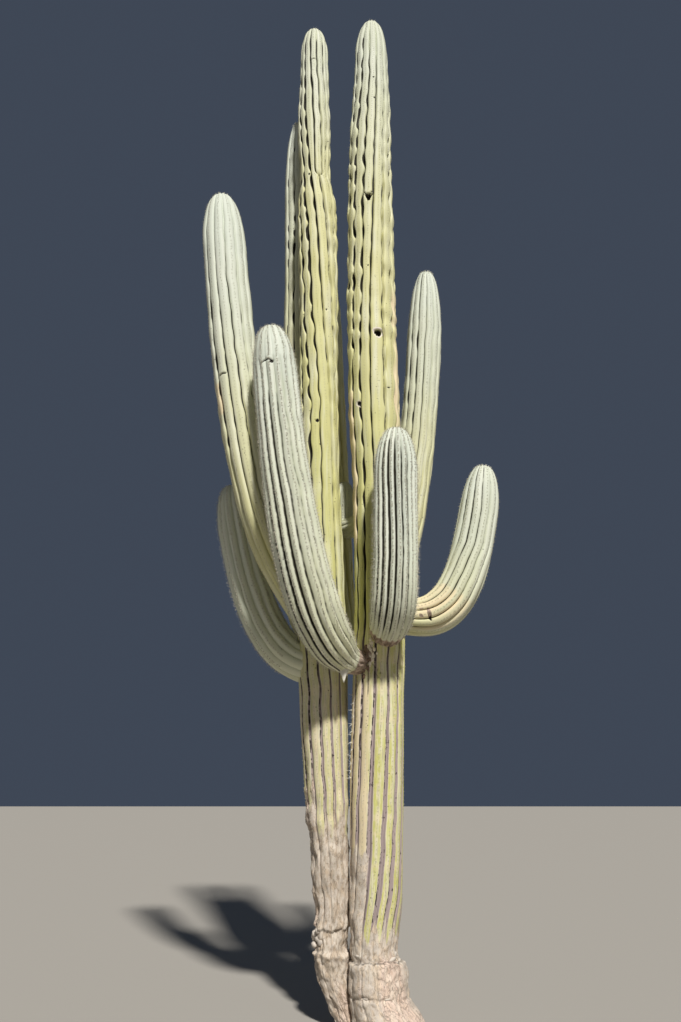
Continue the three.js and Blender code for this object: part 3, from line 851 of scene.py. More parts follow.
# %% The skin of a limb as a net of points
def grow_skin(limb):
    """All the points of a limb's skin, row by row, with what the finish needs to know about each."""
    distance = row_distances(limb)
    sections = arm_sections if "carrier" in limb else stem_sections
    centre, radius, across, along = sections(limb, distance)
    full = fullness(limb["length"] - distance, limb["tip_length"])
    grooves = groove_bearings(limb, distance)
    ribs = lay_out_ribs(limb, distance, grooves)
    left, right = grooves[:, ribs["rib"]], grooves[:, ribs["rib"] + 1]
    bearing = left + (right - left) * ribs["share"]
    reach = rib_relief(limb, distance, radius, full, ribs)
    reach = roughen(limb, distance, bearing, radius, reach)
    crack_and_shade, cork = np.zeros_like(bearing), np.zeros_like(bearing)
    if limb["name"] in CORK_TOP:
        reach, crack_and_shade = foot_radius(limb, distance, bearing, reach)
        reach, cork = cork_over(limb, distance, grooves, ribs, bearing, reach)
    dent, dark, callus = press_marks(limb, distance, bearing, radius)
    reach = reach * full[:, None] - dent * eased(full[:, None] * 2)

    sunk = radius * (APEX_SUNK * (1 - eased(full / APEX)) ** 1.5)
    upwards = np.cross(across, along)
    points = (centre - upwards * sunk[:, None])[:, None]
    for turn, side in ((np.cos(bearing), across), (np.sin(bearing), along)):
        points = points + (reach * turn)[..., None] * side[:, None]
    off = points - centre[:, None]
    flat = radius[:, None]
    lay = [flat * np.cos(bearing), flat * np.sin(bearing), distance[:, None] + 0 * bearing]
    return {
        "distance": distance,
        "rib": ribs["rib"],
        "share": ribs["share"],
        "points": points,
        "bearing": bearing,
        "facing": np.arctan2(off[..., 1], off[..., 0]),
        "arch": ribs["arch"],
        # painted shade of the marks, with the dark of the foot's cracks and the painted shade of its steps
        "dark": np.maximum(dark, crack_and_shade),
        "callus": callus,
        "pinch": ribs["pinch"],
        "cork": cork,
        "lay": np.stack(lay, axis=-1),  # the place on a plain limb, which the patterns follow
        "foot": centre[0],
        "crown": centre[-1] - upwards[-1] * sunk[-1],
    }


SKINS = {name: grow_skin(limb) for name, limb in LIMBS.items()}
print("points:", {name: skin["points"].shape[:2] for name, skin in SKINS.items()})

# %% [markdown]
# ## What the finish needs to know
# A finish can be worked out from the place of each point, but some things are easier to say where the ribs
# are known. So each point also stores how old its skin is, how weathered its groove, and where the skin is
# tanned, scarred or greyed. Which way a point faces counts too: the flanks beside the grooves are painted
# dark as shade, more so on the side that the sun rarely reaches, where the gaps between old ribs get a
# painted shadow. Blender keeps such values as attributes of the mesh, and the nodes read them by name.

# %% Where the skin is old, weathered, tanned or scarred
AGES = {  # 0 is young grey-green, 1 is ripe khaki, 2 is the yellow-green of the oldest green skin
    "trunk_right": [(0.5, 2), (2.4, 1.85), (3.2, 1.45), (5, 1.15), (7.2, 0.85), (8.4, 0.45), (9.2, 0.2)],
    "trunk_left": [(0.5, 2), (2.2, 1.8), (3.2, 1.45), (5, 1.2), (7.2, 1.0), (8.3, 0.6), (9.2, 0.3)],
    "arm_left_tall": [(0.3, 1.2), (1.4, 0.85), (2.4, 0.38), (3.2, 0.12), (4.2, 0.03)],
    "arm_left_front": [(0.3, 0.6), (1.0, 0.35), (2.0, 0.15), (2.8, 0)],
    "arm_left_low": [(0.3, 0.4), (1.2, 0.15)],
    "arm_right_front": [(0.2, 0.4), (0.8, 0.15), (1.6, 0)],
    "arm_right": [(0.2, 0.9), (0.7, 0.5), (1.2, 0.22), (1.7, 0.08)],
    "arm_right_rear": [(0.5, 1.1), (1.6, 0.75), (2.6, 0.3), (3.4, 0.08)],
    "arm_rear_left": [(0.5, 1.2), (3, 0.75), (4.8, 0.35), (5.8, 0.1)],
    "arm_rear_middle": [(0.5, 1.3), (2.5, 1.0), (3.8, 0.5), (4.5, 0.2)],
    "arm_rear_bud": [(0.2, 0.5), (0.7, 0.2)],
}
BANDS = {  # how much of a rib's half width is weathered, from the groove outwards; it also sets how much painted shade the flanks get
    "trunk_right": [(0.6, 0.48), (0.9, 0.44), (1.5, 0.36), (2.4, 0.17), (3.2, 0.08), (4, 0.06), (6.5, 0.07),
                    (7.5, 0.1), (8.8, 0.1), (9.2, 0.025), (9.7, 0)],
    "trunk_left": [(0.9, 0.44), (1.3, 0.34), (2.2, 0.2), (3.2, 0.06), (5.5, 0.05), (6.4, 0.12), (9.2, 0.1),
                   (9.6, 0.02)],
    "arm_left_tall": [(0.4, 0.012), (1.4, 0.02), (2.3, 0.03), (2.9, 0.032), (3.6, 0.026), (4.3, 0.01)],
    "arm_left_front": [(0.3, 0.026), (2.5, 0.022), (2.87, 0)],
    "arm_left_low": [(0.3, 0.01), (1.4, 0.014), (1.8, 0)],
    "arm_right_front": [(0.25, 0.01), (0.45, 0.026), (0.7, 0.03), (1.6, 0.03), (1.85, 0.021), (1.97, 0)],
    "arm_right": [(0.3, 0.024), (0.6, 0.026), (1.2, 0.028), (1.75, 0.022)],
    "arm_right_rear": [(0.4, 0.026), (2.2, 0.028), (2.8, 0.03), (3.6, 0.022)],
    "arm_rear_bud": [(0.1, 0.006), (0.7, 0)],
}
PLAIN_BAND = [(0.8, 0), (1.7, 0.016), (3.9, 0.02), (4.8, 0.012)]  # for the arms that BANDS leaves out
TANNED = {  # distance from and to, bearing of the middle, half width in degrees, strength
    "trunk_right": [(0.5, 2.7, -150, 50, 0.6), (3.4, 5.4, -172, 32, 0.6), (3.9, 6.6, -14, 30, 0.5)],
    "trunk_left": [(0.8, 2.6, -110, 95, 0.4)],
    "arm_right": [(0.1, 0.8, 165, 90, 0.5)],
    "arm_left_tall": [(2.0, 2.41, -75, 25, 0.55)],
}
SCARRED = {  # distance, bearing, half height, half width in metres
    "arm_left_front": [(0.14, -20, 0.15, 0.5)],
    "arm_right": [(0.4, -176, 0.022, 0.075), (0.345, 166, 0.02, 0.03), (0.33, -172, 0.014, 0.02)],
    "arm_right_front": [(0.12, -95, 0.2, 0.4)],
    "trunk_right": [(2.7, -120, 0.09, 0.07)],
}


print("oldest skin:", [name for name, ages in AGES.items() if ages[0][1] > 1])

# %% What each point stores for the finish
SHADE_SIDE = -165  # the bearing of the side that the sun rarely reaches, where the flanks get more painted shade
SHADE_REACH = 100  # how far round from there it fades, in degrees
BAND_SOFTNESS = 0.14
FULL_BAND = 0.04  # a groove whose band is narrower than this is weathered less, and its flanks get less painted shade
WALL_SHARE = 0.8  # how much of a rib's flank, from the groove up, is painted dark as shade
GAPING_WALL = 0.35  # and how much less of it where the groove gapes on the shaded side, with painted shadow
WALL_DARK, WALL_SHADE = 0.62, 0.6  # how dark the painted shade on the flanks is, and how much darker on the shaded side
FULL_PINCH = 0.04  # the strength of a pinch at which the painted shadow in its gap is full
PLAIN_RADIUS = 0.18  # turns a bearing into metres for scars
GREYNESS = {"trunk_left": 1.0}
PLAIN_GREYNESS = 0.15  # for the other limbs
SEAM_PLACE, SEAM_WIDTH = 0.42, 0.035  # of the dotted seam beside a groove, across the rib


def groove_dirt_and_shade(limb, skin, band):
    """How weathered each point is, in a band along each groove, and its painted shade on the flanks and gaps.
    """
    facing = turned_by(skin["facing"], SHADE_SIDE) / math.radians(SHADE_REACH)
    # painted shade: points that face away from the sun are shaded more
    shaded = 0.25 + 0.75 * patch(facing, 0.5)
    there = eased(band / FULL_BAND)
    from_groove = 1 - np.abs(2 * skin["share"] - 1)
    edges = np.clip((band - from_groove) / BAND_SOFTNESS + 0.5, 0, 1)
    # painted shadow in the gaps where pinched ribs gape on the shaded side
    gaping = shaded * eased(skin["pinch"] / FULL_PINCH)
    # painted shade on the flanks of every groove, darker on the shaded side
    walls = eased((1 - skin["arch"]) / (WALL_SHARE - GAPING_WALL * gaping))
    walls = walls * (WALL_DARK + WALL_SHADE * shaded)
    dirt_and_shade = np.maximum(edges * there, walls * np.maximum(there, gaping))
    if "new_rib" in limb:
        number, start, _ = limb["new_rib"]
        dirt_and_shade = np.where((skin["rib"] == number) & (skin["distance"][:, None] < start), 1, dirt_and_shade)
    return dirt_and_shade


def tanned(name, skin):
    """How tanned each point is. On the left stem only the crests are."""
    tan = 0 * skin["bearing"]
    for low, high, degrees, half, strength in TANNED.get(name, []):
        sides = turned_by(skin["bearing"], degrees) / math.radians(half)
        ends = np.abs(skin["distance"][:, None] - (low + high) / 2) / ((high - low) / 2)
        tan = np.maximum(tan, strength * patch(sides) * patch(ends))
    return tan * eased((skin["arch"] - 0.84) / 0.14) if name == "trunk_left" else tan


def scarred(name, skin):
    """How scarred each point is."""
    scar = 0 * skin["bearing"]
    for at, degrees, half_height, half_width in SCARRED.get(name, []):
        sides = turned_by(skin["bearing"], degrees) * PLAIN_RADIUS / half_width
        away = np.hypot(sides, (skin["distance"][:, None] - at) / half_height)
        scar = np.maximum(scar, patch(away, 0.6))
    return scar


def note_finish(limb, skin):
    """Adds what the finish reads to a skin."""
    name, distance = limb["name"], skin["distance"][:, None]
    band = read_off(BANDS.get(name, PLAIN_BAND), distance)
    skin["age"] = read_off(AGES[name], distance) + 0 * skin["bearing"]
    # the band holds real weathering and painted shade together
    skin["band"] = groove_dirt_and_shade(limb, skin, band)
    skin["tan"] = tanned(name, skin)
    skin["scar"] = scarred(name, skin)
    skin["grey"] = np.full_like(skin["bearing"], GREYNESS.get(name, PLAIN_GREYNESS))
    seam = bell(1 - skin["share"] - SEAM_PLACE * band, 0, SEAM_WIDTH)
    skin["seam"] = seam * eased((skin["age"] - 1.5) / 0.2)


for name, skin in SKINS.items():
    note_finish(LIMBS[name], skin)
print("tanned share of the right stem:", round(float(SKINS["trunk_right"]["tan"].mean()), 3))

# %% [markdown]
# ## Nodes in plain words
# The finishes share a handful of node recipes: read an attribute, make a noise, stretch a range, lay one
# colour over another. Small helpers keep each finish short, and they let it be read as a sentence. Colours
# are given as they look on a screen, from 0 to 255, and turned into the linear values of the shader.

# %% Helpers for building a finish
def linear(red, green, blue):
    """A screen colour as the linear values of a shader."""
    shares = [value / 255 for value in (red, green, blue)]
    return [s / 12.92 if s <= 0.04045 else ((s + 0.055) / 1.055) ** 2.4 for s in shares] + [1]


class Finish:
    """A procedural material that is built up in steps."""

    def __init__(self, name, roughness, specular=0.3):
        self.material = bpy.data.materials.new(name)
        self.material.use_nodes = True
        self.tree = self.material.node_tree
        self.shader = self.tree.nodes["Principled BSDF"]
        self.shader.inputs["Roughness"].default_value = roughness
        self.shader.inputs["Specular IOR Level"].default_value = specular

    def fill(self, socket, value):
        """Joins a socket to another one, or sets it to a plain value."""
        if isinstance(value, bpy.types.NodeSocket):
            self.tree.links.new(value, socket)
        else:
            socket.default_value = value

    def node(self, kind, inputs=(), **settings):
        """Adds a node, sets its settings, and joins or fills its inputs."""
        node = self.tree.nodes.new(kind)
        for key, value in settings.items():
            setattr(node, key, value)
        for key, value in dict(inputs).items():
            self.fill(node.inputs[key], value)
        return node

    def attribute(self, name, kind="Fac"):
        return self.node("ShaderNodeAttribute", attribute_name=name).outputs[kind]

    def stretched(self, vector, sideways, upwards):
        inputs = {"Vector": vector, "Scale": (sideways, sideways, upwards)}
        return self.node("ShaderNodeMapping", inputs).outputs["Vector"]

    def noise(self, vector, scale, detail=3.0, roughness=0.55):
        inputs = {"Vector": vector, "Scale": scale, "Detail": detail, "Roughness": roughness}
        return self.node("ShaderNodeTexNoise", inputs).outputs["Fac"]

    def pattern(self, sideways, upwards, detail=3.0, roughness=0.55):
        """A noise that follows the limb, as fine as is said sideways and upwards."""
        return self.noise(self.stretched(self.lay, sideways, upwards), 1.0, detail, roughness)

    def math(self, operation, *values):
        return self.node("ShaderNodeMath", enumerate(values), operation=operation).outputs[0]

    def product(self, share, *others):
        """Some shares multiplied."""
        for other in others:
            share = self.math("MULTIPLY", share, other)
        return share

    def frayed(self, name, noise, amount):
        """A stored value with some noise added, so that its edge breaks up."""
        return self.math("ADD", self.attribute(name), self.math("MULTIPLY", noise, amount))

    def ranged(self, value, low, high):
        """0 where value is low, 1 where it is high, and smooth between."""
        inputs = {"Value": value, "From Min": low, "From Max": high}
        return self.node("ShaderNodeMapRange", inputs, interpolation_type="SMOOTHSTEP").outputs["Result"]

    def laid(self, colour, over, *shares):
        """A colour with another one laid over it, by the product of some shares."""
        node = self.node("ShaderNodeMix", data_type="RGBA")
        values = (("Factor", "VALUE", self.product(*shares)), ("A", "RGBA", colour), ("B", "RGBA", over))
        for name, kind, value in values:
            self.fill(next(s for s in node.inputs if s.name == name and s.type == kind), value)
        return next(s for s in node.outputs if s.type == "RGBA")

    def steps(self, value, colours):
        """A run of colours: each is (place from 0 to 1, colour)."""
        node = self.node("ShaderNodeValToRGB", {"Fac": value})
        ramp = node.color_ramp.elements
        while len(ramp) < len(colours):
            ramp.new(0.5)
        for element, (place, colour) in zip(ramp, colours):
            element.position = place
            element.color = colour
        return node.outputs["Color"]

    def bumped(self, height, distance, strength=1.0):
        """Roughens the surface by a height."""
        node = self.node("ShaderNodeBump", {"Height": height, "Distance": distance, "Strength": strength})
        self.tree.links.new(node.outputs["Normal"], self.shader.inputs["Normal"])

    def coloured(self, colour):
        self.fill(self.shader.inputs["Base Color"], colour)


print("a lit khaki crest in linear values:", [round(v, 3) for v in linear(214, 208, 150)])

# %% [markdown]
# ## The skin's finish
# Close up, the skin is waxy and a little uneven, with long streaks that follow the ribs. Its green fades to
# khaki with age, and olive threads run up it. The oldest skin is worn: its crests are bleached, pale and
# mauve fibres run up it, and tan hoops cross it. The grooves hold dirt and old felt, narrow and brown high
# up, broad and mauve-grey on the lowest two metres, with black flecks, and their flanks and gaps get painted
# shade, near black high up. Cork lies over the feet in plates with cracks between them, and scars, callus and
# the painted shade of holes and creases, with the dark of cracks, come last.
#
# The colours are laid in the order in which they lie on the plant, each by a noise that breaks its edge, so
# that nothing ends in a clean line. A picture wrapped round the limb couldn't follow its ribs so closely.

# %% The colours of skin, grooves, cork and scars
YOUNG = linear(201, 206, 192)
RIPE = linear(207, 203, 152)
OLIVE = linear(176, 172, 104)
OLD = linear(188, 187, 92)
WAX = linear(223, 223, 210)
TAN = linear(222, 205, 168)
# near black: dirt and felt in the grooves, and painted shade where they are deep
GROOVE_BROWN_AND_SHADE = linear(42, 38, 28)
GROOVE_MAUVE = linear(158, 143, 140)
FLECK = linear(52, 44, 42)
CREST_PALE = linear(222, 212, 195)
CORK_TAN = linear(208, 190, 168)
CORK_GREY = linear(200, 190, 178)
CORK_BROWN = linear(160, 142, 122)
CORK_PINK = linear(222, 194, 176)
CRACK = linear(70, 52, 42)
SCAR_BROWN = linear(122, 104, 90)
SCAR_PINK = linear(178, 158, 142)
CALLUS = linear(222, 212, 196)
# painted shade inside holes and creases, and the dark of the foot's cracks
HOLLOW_SHADE_AND_CRACK = linear(26, 20, 18)


print("young and old skin:", [round(v, 2) for v in (*YOUNG[:3], *OLD[:3])])

# %% Green skin, from young to old
def shared_patterns(finish):
    """Reads the places and the age, and makes the noises that several layers share."""
    finish.lay = finish.attribute("lay", "Vector")
    finish.age = finish.attribute("age")
    finish.old = finish.ranged(finish.age, 1.5, 1.8)
    finish.streaks = finish.pattern(22, 1.6, 4)
    finish.clouds = finish.pattern(3, 1.1)
    finish.grain = finish.noise(finish.lay, 160, 3, 0.6)
    finish.mottles = finish.pattern(30, 14, 4, 0.65)


def green_skin(finish):
    """Grey-green that turns khaki and then yellow-green, with olive threads and a bloom of wax."""
    uneven = finish.math("MULTIPLY_ADD", finish.clouds, 0.5, -0.25)
    ageing = finish.math("MULTIPLY", finish.math("ADD", finish.age, uneven), 0.5)
    colour = finish.steps(ageing, [(0, YOUNG), (0.5, RIPE), (1, OLD)])
    threads = finish.ranged(finish.pattern(46, 2.2, 3, 0.6), 0.56, 0.68)
    colour = finish.laid(colour, OLIVE, threads, finish.ranged(finish.age, 0.3, 1.0), 0.55)
    return finish.laid(colour, WAX, finish.ranged(finish.streaks, 0.42, 0.72), 0.45)


def worn_skin(finish, colour):
    """What age adds: bleached crests, greyed and tanned places, fine fibres, and hoops across the ribs."""
    crest = finish.ranged(finish.attribute("arch"), 0.965, 0.995)
    mottled = finish.ranged(finish.mottles, 0.35, 0.6)
    colour = finish.laid(colour, CREST_PALE, crest, finish.old, mottled, 0.55)
    colour = finish.laid(colour, CORK_GREY, finish.attribute("grey"), finish.old, 0.35)
    colour = finish.laid(colour, TAN, finish.ranged(finish.frayed("tan", finish.streaks, 0.9), 0.78, 1.1))
    worn = finish.ranged(finish.pattern(55, 16, 4, 0.7), 0.5, 0.68)
    colour = finish.laid(colour, TAN, worn, finish.old, 0.5)
    fibres = finish.pattern(120, 6, 3, 0.6)
    colour = finish.laid(colour, CREST_PALE, finish.ranged(fibres, 0.54, 0.7), finish.old, 0.55)
    colour = finish.laid(colour, GROOVE_MAUVE, finish.ranged(fibres, 0.45, 0.3), finish.old, 0.65)
    hoops = finish.ranged(finish.pattern(1.5, 11, 4, 0.6), 0.5, 0.66)
    return finish.laid(colour, TAN, hoops, finish.old, 0.4)


def grooved_skin(finish, colour):
    """Dirt, old felt and painted shade in the grooves, with pale edges, black flecks, a dotted seam and a few
    specks.
    """
    band = finish.frayed("band", finish.mottles, 0.5)
    colour = finish.laid(colour, CREST_PALE, finish.ranged(band, 0.3, 0.6), finish.old, 0.45)
    spots = finish.pattern(70, 26, 3, 0.6)
    groove = finish.laid(GROOVE_BROWN_AND_SHADE, GROOVE_MAUVE, finish.old)
    flecks = finish.ranged(spots, 0.6, 0.68)
    groove = finish.laid(groove, FLECK, flecks, finish.ranged(finish.age, 1.0, 1.6))
    # the groove colour also paints the shade on the flanks and in the gaps
    colour = finish.laid(colour, groove, finish.ranged(band, 0.62, 0.95))
    dotted = finish.product(finish.ranged(spots, 0.44, 0.52), finish.attribute("seam"))
    colour = finish.laid(colour, FLECK, finish.ranged(dotted, 0.2, 0.7))
    pores = finish.node("ShaderNodeTexVoronoi", {"Vector": finish.lay, "Scale": 26.0}).outputs
    specks = finish.ranged(pores["Distance"], 0.16, 0.08)
    return finish.laid(colour, FLECK, specks, finish.ranged(pores["Color"], 0.62, 0.66), 0.7)


print("layers of skin:", [layer.__name__ for layer in (green_skin, worn_skin, grooved_skin)])

# %% Cork, scars and holes, and the whole finish
def bent_places(finish):
    """The places on a limb, swirled a little, so that plates of cork aren't straight."""
    swirls = finish.node("ShaderNodeTexNoise", {"Vector": finish.lay, "Scale": 14.0, "Detail": 3.0})
    sizes = {0: swirls.outputs["Color"], 1: (0.1, 0.1, 0.16)}
    swing = finish.node("ShaderNodeVectorMath", sizes, operation="MULTIPLY").outputs[0]
    return finish.node("ShaderNodeVectorMath", {0: finish.lay, 1: swing}, operation="ADD").outputs[0]


def cork_colour(finish):
    """The colour of cork, and its cracks: those between its plates, and torn lines."""
    cork = finish.steps(finish.mottles, [(0.3, CORK_BROWN), (0.45, CORK_GREY), (0.6, CORK_TAN)])
    cork = finish.laid(cork, CORK_PINK, finish.ranged(finish.clouds, 0.5, 0.62), 0.6)
    plates = {"Vector": finish.stretched(bent_places(finish), 27, 11), "Scale": 1.0}
    plate = finish.node("ShaderNodeTexVoronoi", plates).outputs["Color"]
    cork = finish.laid(cork, CREST_PALE, finish.ranged(plate, 0.45, 0.8), 0.35)
    between = finish.node("ShaderNodeTexVoronoi", plates, feature="DISTANCE_TO_EDGE").outputs["Distance"]
    between = finish.product(finish.ranged(between, 0.06, 0.01), finish.ranged(finish.clouds, 0.46, 0.6))
    torn = finish.math("ABSOLUTE", finish.math("SUBTRACT", finish.pattern(34, 12, 5, 0.7), 0.5))
    torn = finish.product(finish.ranged(torn, 0.02, 0.004), finish.ranged(finish.mottles, 0.44, 0.56))
    cracks = finish.math("MAXIMUM", between, torn)
    greyed = finish.ranged(finish.mottles, 0.36, 0.56)
    cork = finish.laid(cork, CORK_BROWN, finish.attribute("grey"), greyed, 0.5)
    return finish.laid(cork, CRACK, cracks, 0.5), cracks


def healed_places(finish, colour):
    """Scars, the callus round holes, and the painted shade of holes and creases, with the dark of cracks."""
    scar = finish.laid(SCAR_BROWN, SCAR_PINK, finish.ranged(finish.mottles, 0.4, 0.6))
    colour = finish.laid(colour, scar, finish.ranged(finish.frayed("scar", finish.grain, 0.4), 0.45, 0.75))
    callus = finish.ranged(finish.frayed("callus", finish.grain, 0.5), 0.6, 0.85)
    colour = finish.laid(colour, CALLUS, callus)
    return finish.laid(colour, HOLLOW_SHADE_AND_CRACK, finish.ranged(finish.attribute("dark"), 0.1, 0.5))


def skin_finish(name):
    """The finish of a limb, from the youngest skin to cork."""
    finish = Finish(name, roughness=0.62, specular=0.25)
    shared_patterns(finish)
    skin = grooved_skin(finish, worn_skin(finish, green_skin(finish)))
    cork, cracks = cork_colour(finish)
    corky = finish.ranged(finish.frayed("cork", finish.streaks, 0.6), 0.7, 0.95)
    finish.coloured(healed_places(finish, finish.laid(skin, cork, corky)))

    streaky = finish.math("MULTIPLY", finish.streaks, 0.6)
    furrowed = finish.math("SUBTRACT", finish.mottles, finish.math("MULTIPLY", cracks, 0.5))
    relief = finish.laid(streaky, furrowed, corky)
    relief = finish.math("ADD", relief, finish.math("MULTIPLY", finish.grain, 0.25))
    finish.bumped(relief, distance=0.007, strength=0.6)
    return finish.material


SKIN_FINISHES = {slot: skin_finish(f"{slot}_wax") for slot in ("stem_skin", "arm_skin")}
print("finishes:", [finish.name for finish in SKIN_FINISHES.values()])

# %% [markdown]
# ## Making the meshes
# A net of points becomes a mesh of four-sided faces, closed by a fan of triangles at each end. The arrays are
# handed over whole, which is far quicker than adding faces one by one. Each skin replaces the plain solids
# of its limb, which then aren't shown.

# %% A mesh from arrays, and the skins
STORED = ("arch", "age", "band", "tan", "scar", "callus", "cork", "grey", "dark", "seam", "lay")


def make_mesh(name, points, faces, finish, smooth=True):
    """An object from an array of points and a list of arrays of faces, one for each number of corners."""
    mesh = bpy.data.meshes.new(name)
    counts = np.concatenate([np.full(len(f), f.shape[1]) for f in faces])
    corners = np.concatenate([f.ravel() for f in faces])
    mesh.vertices.add(len(points))
    mesh.vertices.foreach_set("co", points.astype(np.float32).ravel())
    mesh.loops.add(len(corners))
    mesh.loops.foreach_set("vertex_index", corners.astype(np.int32))
    mesh.polygons.add(len(counts))
    mesh.polygons.foreach_set("loop_start", np.concatenate([[0], np.cumsum(counts)[:-1]]).astype(np.int32))
    mesh.polygons.foreach_set("use_smooth", np.full(len(counts), smooth))
    mesh.update(calc_edges=True)
    mesh.validate()
    mesh.materials.append(finish)
    piece = bpy.data.objects.new(name, mesh)
    bpy.context.scene.collection.objects.link(piece)
    return piece


def note_on_mesh(piece, name, values):
    """Stores a value, or a vector, with each point of a mesh."""
    kind, key = ("FLOAT_VECTOR", "vector") if values.ndim == 2 else ("FLOAT", "value")
    attribute = piece.data.attributes.new(name, kind, "POINT")
    attribute.data.foreach_set(key, values.astype(np.float32).ravel())


def net_faces(rows, around):
    """The faces of a closed net: squares between its rows, and a fan to one more point at each end."""
    row, place = np.meshgrid(np.arange(rows - 1), np.arange(around), indexing="ij")
    beside = (place + 1) % around
    squares = np.stack([row * around + place, row * around + beside, (row + 1) * around + beside,
                        (row + 1) * around + place], axis=-1).reshape(-1, 4)
    ring = np.arange(around)
    foot, crown, last = rows * around, rows * around + 1, (rows - 1) * around
    bottom = np.stack([(ring + 1) % around, ring, np.full(around, foot)], axis=-1)
    top = np.stack([last + ring, last + (ring + 1) % around, np.full(around, crown)], axis=-1)
    return [squares, np.concatenate([bottom, top])]


def dress_limb(name):
    """Makes a limb's skin, and puts it in place of the limb's solids."""
    skin = SKINS[name]
    rows, around = skin["points"].shape[:2]
    points = np.concatenate([skin["points"].reshape(-1, 3), [skin["foot"]], [skin["crown"]]])
    slot = "arm_skin" if name.startswith("arm") else "stem_skin"
    piece = make_mesh(f"{name}_skin", points, net_faces(rows, around), SKIN_FINISHES[slot])
    for key in STORED:
        values = skin[key].reshape(rows * around, *skin[key].shape[2:])
        note_on_mesh(piece, key, np.concatenate([values, values[:1], values[-1:]]))
    solids = [node for node in (name, f"{name}_elbow", f"{name}_column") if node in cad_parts]
    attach(piece, "root")
    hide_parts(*solids)
    return piece


for name in LIMBS:
    piece = dress_limb(name)
    triangles = sum(len(face.vertices) - 2 for face in piece.data.polygons)
    print(piece.name, triangles, "triangles")

# %% [markdown]
# ## Felt pads and spines
# Spines grow in tufts from felt pads, which sit on the crests about a thumb's width apart. The young arms are
# thickly spined. Old ribs have lost most of theirs and keep a few short ones, and every tip wears a crown of
# new ones. Each pad is a small closed lump and each spine a slim closed cone, all worked out from the crest's
# own points and joined by kind, because one mesh of many small things draws far quicker than many small
# meshes.

# %% Where the tufts sit on each limb
TUFTS = {  # spacing, spines in a tuft, length, thickness, kind
    "trunk_right": (0.03, 2, 0.014, 0.001, "old"),
    "trunk_left": (0.03, 2, 0.014, 0.001, "old"),
    "arm_left_tall": (0.034, 3, 0.018, 0.0011, "old"),
    "arm_left_front": (0.027, 6, 0.028, 0.0014, "young"),
    "arm_left_low": (0.027, 6, 0.028, 0.0014, "young"),
    "arm_right_front": (0.027, 6, 0.028, 0.0014, "young"),
    "arm_right": (0.03, 4, 0.017, 0.0011, "old"),
    "arm_right_rear": (0.034, 3, 0.018, 0.0011, "old"),
    "arm_rear_left": (0.036, 2, 0.016, 0.0011, "old"),
    "arm_rear_middle": (0.036, 2, 0.016, 0.0011, "old"),
    "arm_rear_bud": (0.026, 5, 0.02, 0.0012, "young"),
}
CORK_CLEAR = {"trunk_right": 0.62, "trunk_left": 1.0}  # no tufts below these heights
ARM_CLEAR = 0.3
CROWN_SHARE = 0.05  # the last part of a tip, where the tufts crowd
CROWN_SPACING = 0.009
UNEVEN = 0.12  # how unevenly tufts are spaced, as a share of their spacing
TIP_CLEAR = 0.0004


def unit(vectors):
    return vectors / np.linalg.norm(vectors, axis=-1, keepdims=True)


def tuft_places(name, spacing, start, end, rng):
    """The places of tufts on a limb: points on the crests, and the directions out, up and sideways."""
    skin, limb = SKINS[name], LIMBS[name]
    new_rib, opens, opening = limb.get("new_rib", (-1, 0, 0))
    found = []
    for rib in range(skin["rib"].max() + 1):
        column = rib * limb["points"] + limb["points"] // 2
        first = max(start, opens + opening) if rib == new_rib else start
        line = skin["points"][:, column]
        beside = skin["points"][:, column + 1] - skin["points"][:, column - 1]
        walked = np.concatenate([[0], np.cumsum(np.linalg.norm(np.diff(line, axis=0), axis=1))])
        begin, stop = np.interp((first, end), skin["distance"], walked)
        stops = np.arange(begin + spacing * rng.random(), stop, spacing)
        stops = stops + rng.normal(0, UNEVEN * spacing, len(stops))
        upwards = np.gradient(line, axis=0)
        outwards = np.cross(unit(beside), unit(upwards))
        found.append([np.stack([np.interp(stops, walked, values[:, k]) for k in range(3)], axis=-1)
                      for values in (line, outwards, upwards)])
    point, outward, upward = (np.concatenate([group[k] for group in found]) for k in range(3))
    outward = unit(outward)
    upward = unit(upward - outward * np.sum(upward * outward, axis=1, keepdims=True))
    return point, outward, upward, np.cross(outward, upward)


rng = np.random.default_rng(11)
PLACES, CROWNS = {}, {}
for name, limb in LIMBS.items():
    top = limb["length"] - CROWN_SHARE * limb["tip_length"]
    PLACES[name] = tuft_places(name, TUFTS[name][0], CORK_CLEAR.get(name, ARM_CLEAR), top, rng)
    CROWNS[name] = tuft_places(name, CROWN_SPACING, top, limb["length"] - TIP_CLEAR, rng)
print("tufts:", {name: len(places[0]) for name, places in PLACES.items()})

# %% [markdown]
# A pad is a low pyramid on four corners with its foot sunk in the skin. A spine is a three-sided cone, closed
# below. Both are made for all tufts at once: one array holds every corner, and the faces are the same few
# rows of numbers, moved along for each copy.

# %% Pads and spines as joined meshes
PAD_SIZE = {"young": 0.0052, "old": 0.0042}
CROWN_LENGTH = {"young": 0.014, "old": 0.02}
CROWN_SPINES = 4  # at each tuft of a crown
CROWN_THICKNESS = 0.0022
LEAN = (18, 72)  # how far a spine leans from straight out, in degrees
LENGTHS = (0.6, 1.25)  # the shortest and the longest spine of a tuft, as shares of the stated length
DROOP = 0.12
ROOT_DEPTH = 0.002
PAD_FACES = np.array([(0, 1, 4), (1, 2, 4), (2, 3, 4), (3, 0, 4), (2, 1, 0), (3, 2, 0)])
SPINE_FACES = np.array([(0, 1, 3), (1, 2, 3), (2, 0, 3), (2, 1, 0)])


def repeated(faces, corners, count):
    """The same faces again for each of many copies."""
    return (faces[None] + corners * np.arange(count)[:, None, None]).reshape(-1, 3)


